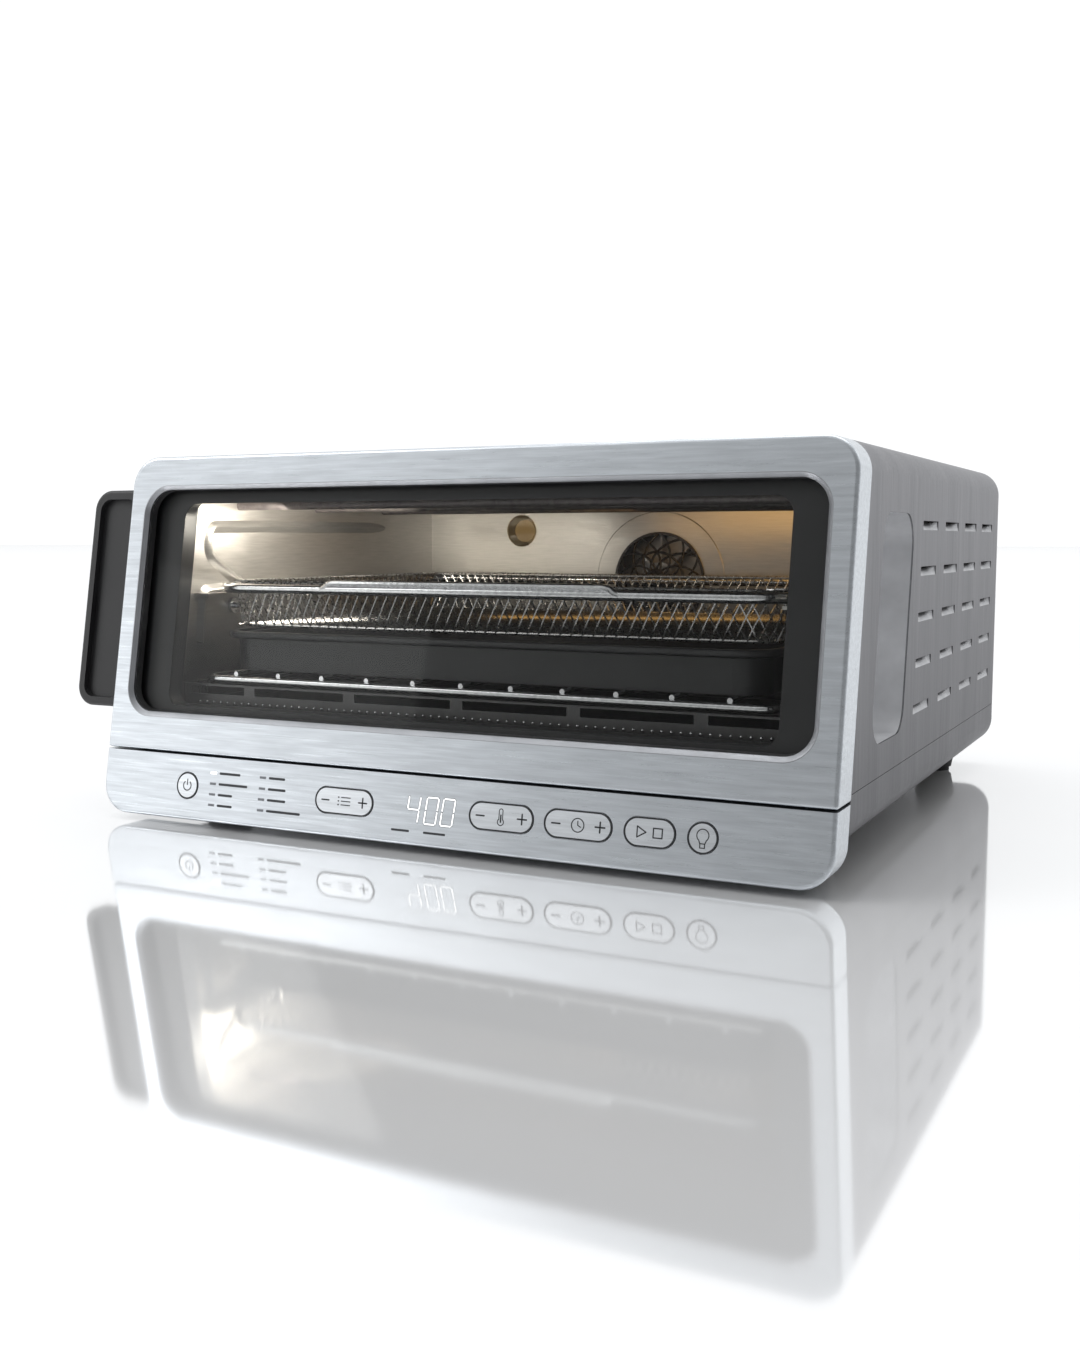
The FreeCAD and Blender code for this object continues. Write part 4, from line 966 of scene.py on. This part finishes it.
def fan_guard():
    """Guard over the fan: a dome of crossing curved ribs inside a flat flange."""
    edge = Parts()
    edge.ring(disc(FLANGE_REACH), on_guard, FLANGE_SECTION)
    edge.finish("fan_guard_flange", CAVITY, "case")
    parts = Parts()
    parts.ring(disc(DOME_REACH), on_guard, FOOT_SECTION)
    for lean in (1, -1):
        for start in turned(12):
            parts.tube([on_dome(0.2 + 0.1 * step, start + lean * 0.13 * step)
                        for step in range(9)], 1.0 * MM, 6)
    for reach in (0.22, 0.6):
        parts.tube([on_dome(reach, angle) for angle in turned(40)], 1.1 * MM, 6, closed=True)
    parts.ball(on_dome(0.0, 0.0) + Vector((0, 1.5, 0)) * MM, HUB_RADIUS * MM, AHEAD, 24, 4)
    parts.finish("fan_guard", GUARD_METAL, "case", ["fan_grille"])


# ---------------------------------------------------------------- case

# Side vents: inner face of the cover, level and start of the top row's rear vent, drop from row to
# row, step from vent to vent, how much that step grows per mm of drop, and a vent's length.
COVER_INSIDE = 239.4
VENT_ROWS = 5
VENT_COLUMNS = 4
VENT_TOP = 183.4
VENT_BACK = 410.0
VENT_DROP = 27.8
VENT_STEP = 70.9
VENT_SPREAD = 0.0513
VENT_LENGTH = 46.0
# Section of the dish as (inward, up), the share of its depth that is left at its shut ends, and
# how far its upper part is lifted there.
DISH = ((0.0, -2.8), (0.5, -2.4), (2.2, -0.6), (4.4, 1.4), (4.9, 1.5), (4.6, 0.7), (2.4, -1.6),
        (0.8, -3.1))
DISH_END = 0.15
DISH_END_RISE = 1.2


def louvre_lips():
    """Pressed dish inside every side vent: a ramp up from the lower edge, shut at both ends."""
    steps = 16
    for side, name in ((1, "louvre_lips_right"), (-1, "louvre_lips_left")):
        parts = Parts()
        for row in range(VENT_ROWS):
            level = VENT_TOP - row * VENT_DROP
            for column in range(VENT_COLUMNS):
                start = VENT_BACK - column * (VENT_STEP + VENT_SPREAD * (VENT_TOP - level))
                rows = []
                for step in range(steps + 1):
                    share = step / steps
                    swell = math.sin(math.pi * share) ** 0.4
                    depth = DISH_END + (1 - DISH_END) * swell
                    lift = DISH_END_RISE * (1 - swell)
                    rows.append([case(side * (COVER_INSIDE - inward * depth),
                                      start + VENT_LENGTH * share,
                                      level + up + (lift if up > 0 else 0.0))
                                 for inward, up in DISH])
                parts.grid(rows, closed_columns=True)
        parts.finish(name, LIP_STEEL, "case")


# Rear screws: middles as (x, z), how far the foot of a head lies before the CAD screws' rear ends,
# the section of a head as (reach, height), and its cross slot.
SCREW_PLACES = ((-215, 215), (-215, 60), (215, 215), (215, 60), (0, 219), (0, 24))
HEAD_SINK = 2.0
HEAD_SIDES = 24
HEAD_SECTION = ((3.8, 0.0), (3.8, 0.9), (3.4, 1.5), (2.6, 1.9), (2.2, 1.95))
HEAD_TOP = 1.95
SLOT_REACH = 2.0
SLOT_WAIST = 0.75
SLOT_FOOT = 0.7
SLOT_TAPER = 0.8


def screw_heads():
    """Domed cross-slotted heads on the rear screws."""
    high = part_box("rear_screws")[1]
    face = (high.y - FOOT.y) / MM - HEAD_SINK
    parts = Parts()
    angles = turned(HEAD_SIDES)
    slot = [SLOT_WAIST if index % 6 else SLOT_REACH for index in range(HEAD_SIDES)]
    levels = [([reach] * HEAD_SIDES, height) for reach, height in HEAD_SECTION]
    levels += [(slot, HEAD_TOP), ([reach * SLOT_TAPER for reach in slot], SLOT_FOOT)]
    for x, z in SCREW_PLACES:
        rows = [[case(x + math.cos(a) * r, face + height, z + math.sin(a) * r)
                 for a, r in zip(angles, reaches)] for reaches, height in levels]
        start = parts.grid(rows, closed_columns=True)
        last = start + (len(rows) - 1) * HEAD_SIDES
        parts.faces.append(tuple(range(last, last + HEAD_SIDES)))
        parts.faces.append(tuple(range(start + HEAD_SIDES - 1, start - 1, -1)))
    parts.finish("rear_screw_heads", BRIGHT_STEEL, "case", ["rear_screws"])


# ---------------------------------------------------------------- stage

FLOOR_REACH = 40.0
# Towards the bright side of the room, and the world's strength on the dim and the bright side.
BRIGHT_SIDE = (-0.6, 0.75, 0.2)
WORLD_DIM = 0.3
WORLD_BRIGHT = 1.08
WORLD_COLOUR = (0.98, 0.99, 1.0, 1)
LIT_MIDDLE = (0, 0, 0.1)
# Camera, solved from the photograph: place, turn and pitch in degrees, lens and sensor in mm.
CAMERA_PLACE = (0.4325, -0.90728, 0.1788)
CAMERA_TURN = 26.8
CAMERA_PITCH = 5.58
CAMERA_LENS = 36.89
CAMERA_SENSOR = 36.0


def floor():
    """Pale polished floor that mirrors the oven faintly."""
    size = FLOOR_REACH
    mesh = bpy.data.meshes.new("floor")
    mesh.from_pydata([(-size, -size, 0), (size, -size, 0), (size, size, 0), (-size, size, 0)],
                     [], [(0, 1, 2, 3)])
    item = bpy.data.objects.new("floor", mesh)
    bpy.context.scene.collection.objects.link(item)
    look = Look("pale_floor")
    cloud = look.noise((3, 3, 3), 2.0)
    look.set(Base_Color=look.mottle(cloud, (0.93, 0.93, 0.935, 1), (0.96, 0.96, 0.965, 1)),
             Metallic=0.45, Roughness=0.06, Specular_IOR_Level=0.6)
    mesh.materials.append(look.material)


def soft_light(name, where, aim, size, power, colour=(1, 1, 1)):
    """Rectangular area light, its size in metres and its power in watts."""
    light = bpy.data.lights.new(name, "AREA")
    light.shape = "RECTANGLE"
    light.size, light.size_y = size
    light.energy = power
    light.color = colour
    item = bpy.data.objects.new(name, light)
    item.location = where
    item.rotation_euler = (Vector(aim) - Vector(where)).to_track_quat("-Z", "Y").to_euler()
    bpy.context.scene.collection.objects.link(item)


def studio():
    """White room, dimmer towards the front right, soft lights outside the view, and two lights
    inside the oven."""
    world = bpy.data.worlds.new("studio")
    bpy.context.scene.world = world
    world.use_nodes = True
    tree = world.node_tree
    where = tree.nodes.new("ShaderNodeTexCoord")
    facing = tree.nodes.new("ShaderNodeVectorMath")
    facing.operation = "DOT_PRODUCT"
    facing.inputs[1].default_value = BRIGHT_SIDE
    level = tree.nodes.new("ShaderNodeMapRange")
    for name, given in (("From Min", -0.62), ("From Max", 0.25), ("To Min", WORLD_DIM),
                        ("To Max", WORLD_BRIGHT)):
        level.inputs[name].default_value = given
    background = tree.nodes["Background"]
    background.inputs["Color"].default_value = WORLD_COLOUR
    tree.links.new(where.outputs["Generated"], facing.inputs[0])
    tree.links.new(facing.outputs["Value"], level.inputs["Value"])
    tree.links.new(level.outputs["Result"], background.inputs["Strength"])
    soft_light("key_softbox", (-2.1, -1.5, 2.1), LIT_MIDDLE, (1.4, 1.4), 20.0)
    soft_light("low_softbox", (-1.9, -1.7, 0.36), LIT_MIDDLE, (1.7, 0.7), 3.4)
    soft_light("top_softbox", (0.1, 0.3, 2.4), LIT_MIDDLE, (2.0, 1.6), 14.0)
    soft_light("side_softbox", (2.2, 1.6, 2.0), LIT_MIDDLE, (1.2, 1.2), 3.0)
    soft_light("oven_lamp_glow", case(60, 300, 196), case(40, 350, 120), (0.22, 0.05), 0.045,
               (1.0, 0.56, 0.17))
    soft_light("oven_front_glow", case(-150, 120, 188), case(-205, 150, 150), (0.12, 0.02), 0.22,
               (1.0, 0.93, 0.82))


def camera():
    """View of the photograph."""
    data = bpy.data.cameras.new("camera")
    data.sensor_fit = "VERTICAL"
    data.sensor_height = CAMERA_SENSOR
    data.sensor_width = CAMERA_SENSOR
    data.lens = CAMERA_LENS
    item = bpy.data.objects.new("camera", data)
    turn, pitch = math.radians(CAMERA_TURN), math.radians(CAMERA_PITCH)
    ahead = Vector((-math.sin(turn) * math.cos(pitch), math.cos(turn) * math.cos(pitch),
                    -math.sin(pitch)))
    item.location = CAMERA_PLACE
    item.rotation_euler = ahead.to_track_quat("-Z", "Y").to_euler()
    bpy.context.scene.collection.objects.link(item)
    bpy.context.scene.camera = item


# ---------------------------------------------------------------- the whole

dress_cad_nodes()
window_trim()
window_border()
key_marks()
display_digits()
mode_labels()
lit_mode()
basket_rim()
basket_edge()
basket_walls()
basket_floor()
wall_ribs()
sill_beads()
fan_guard()
louvre_lips()
screw_heads()
floor()
studio()
camera()
bpy.context.scene.view_settings.view_transform = "Standard"
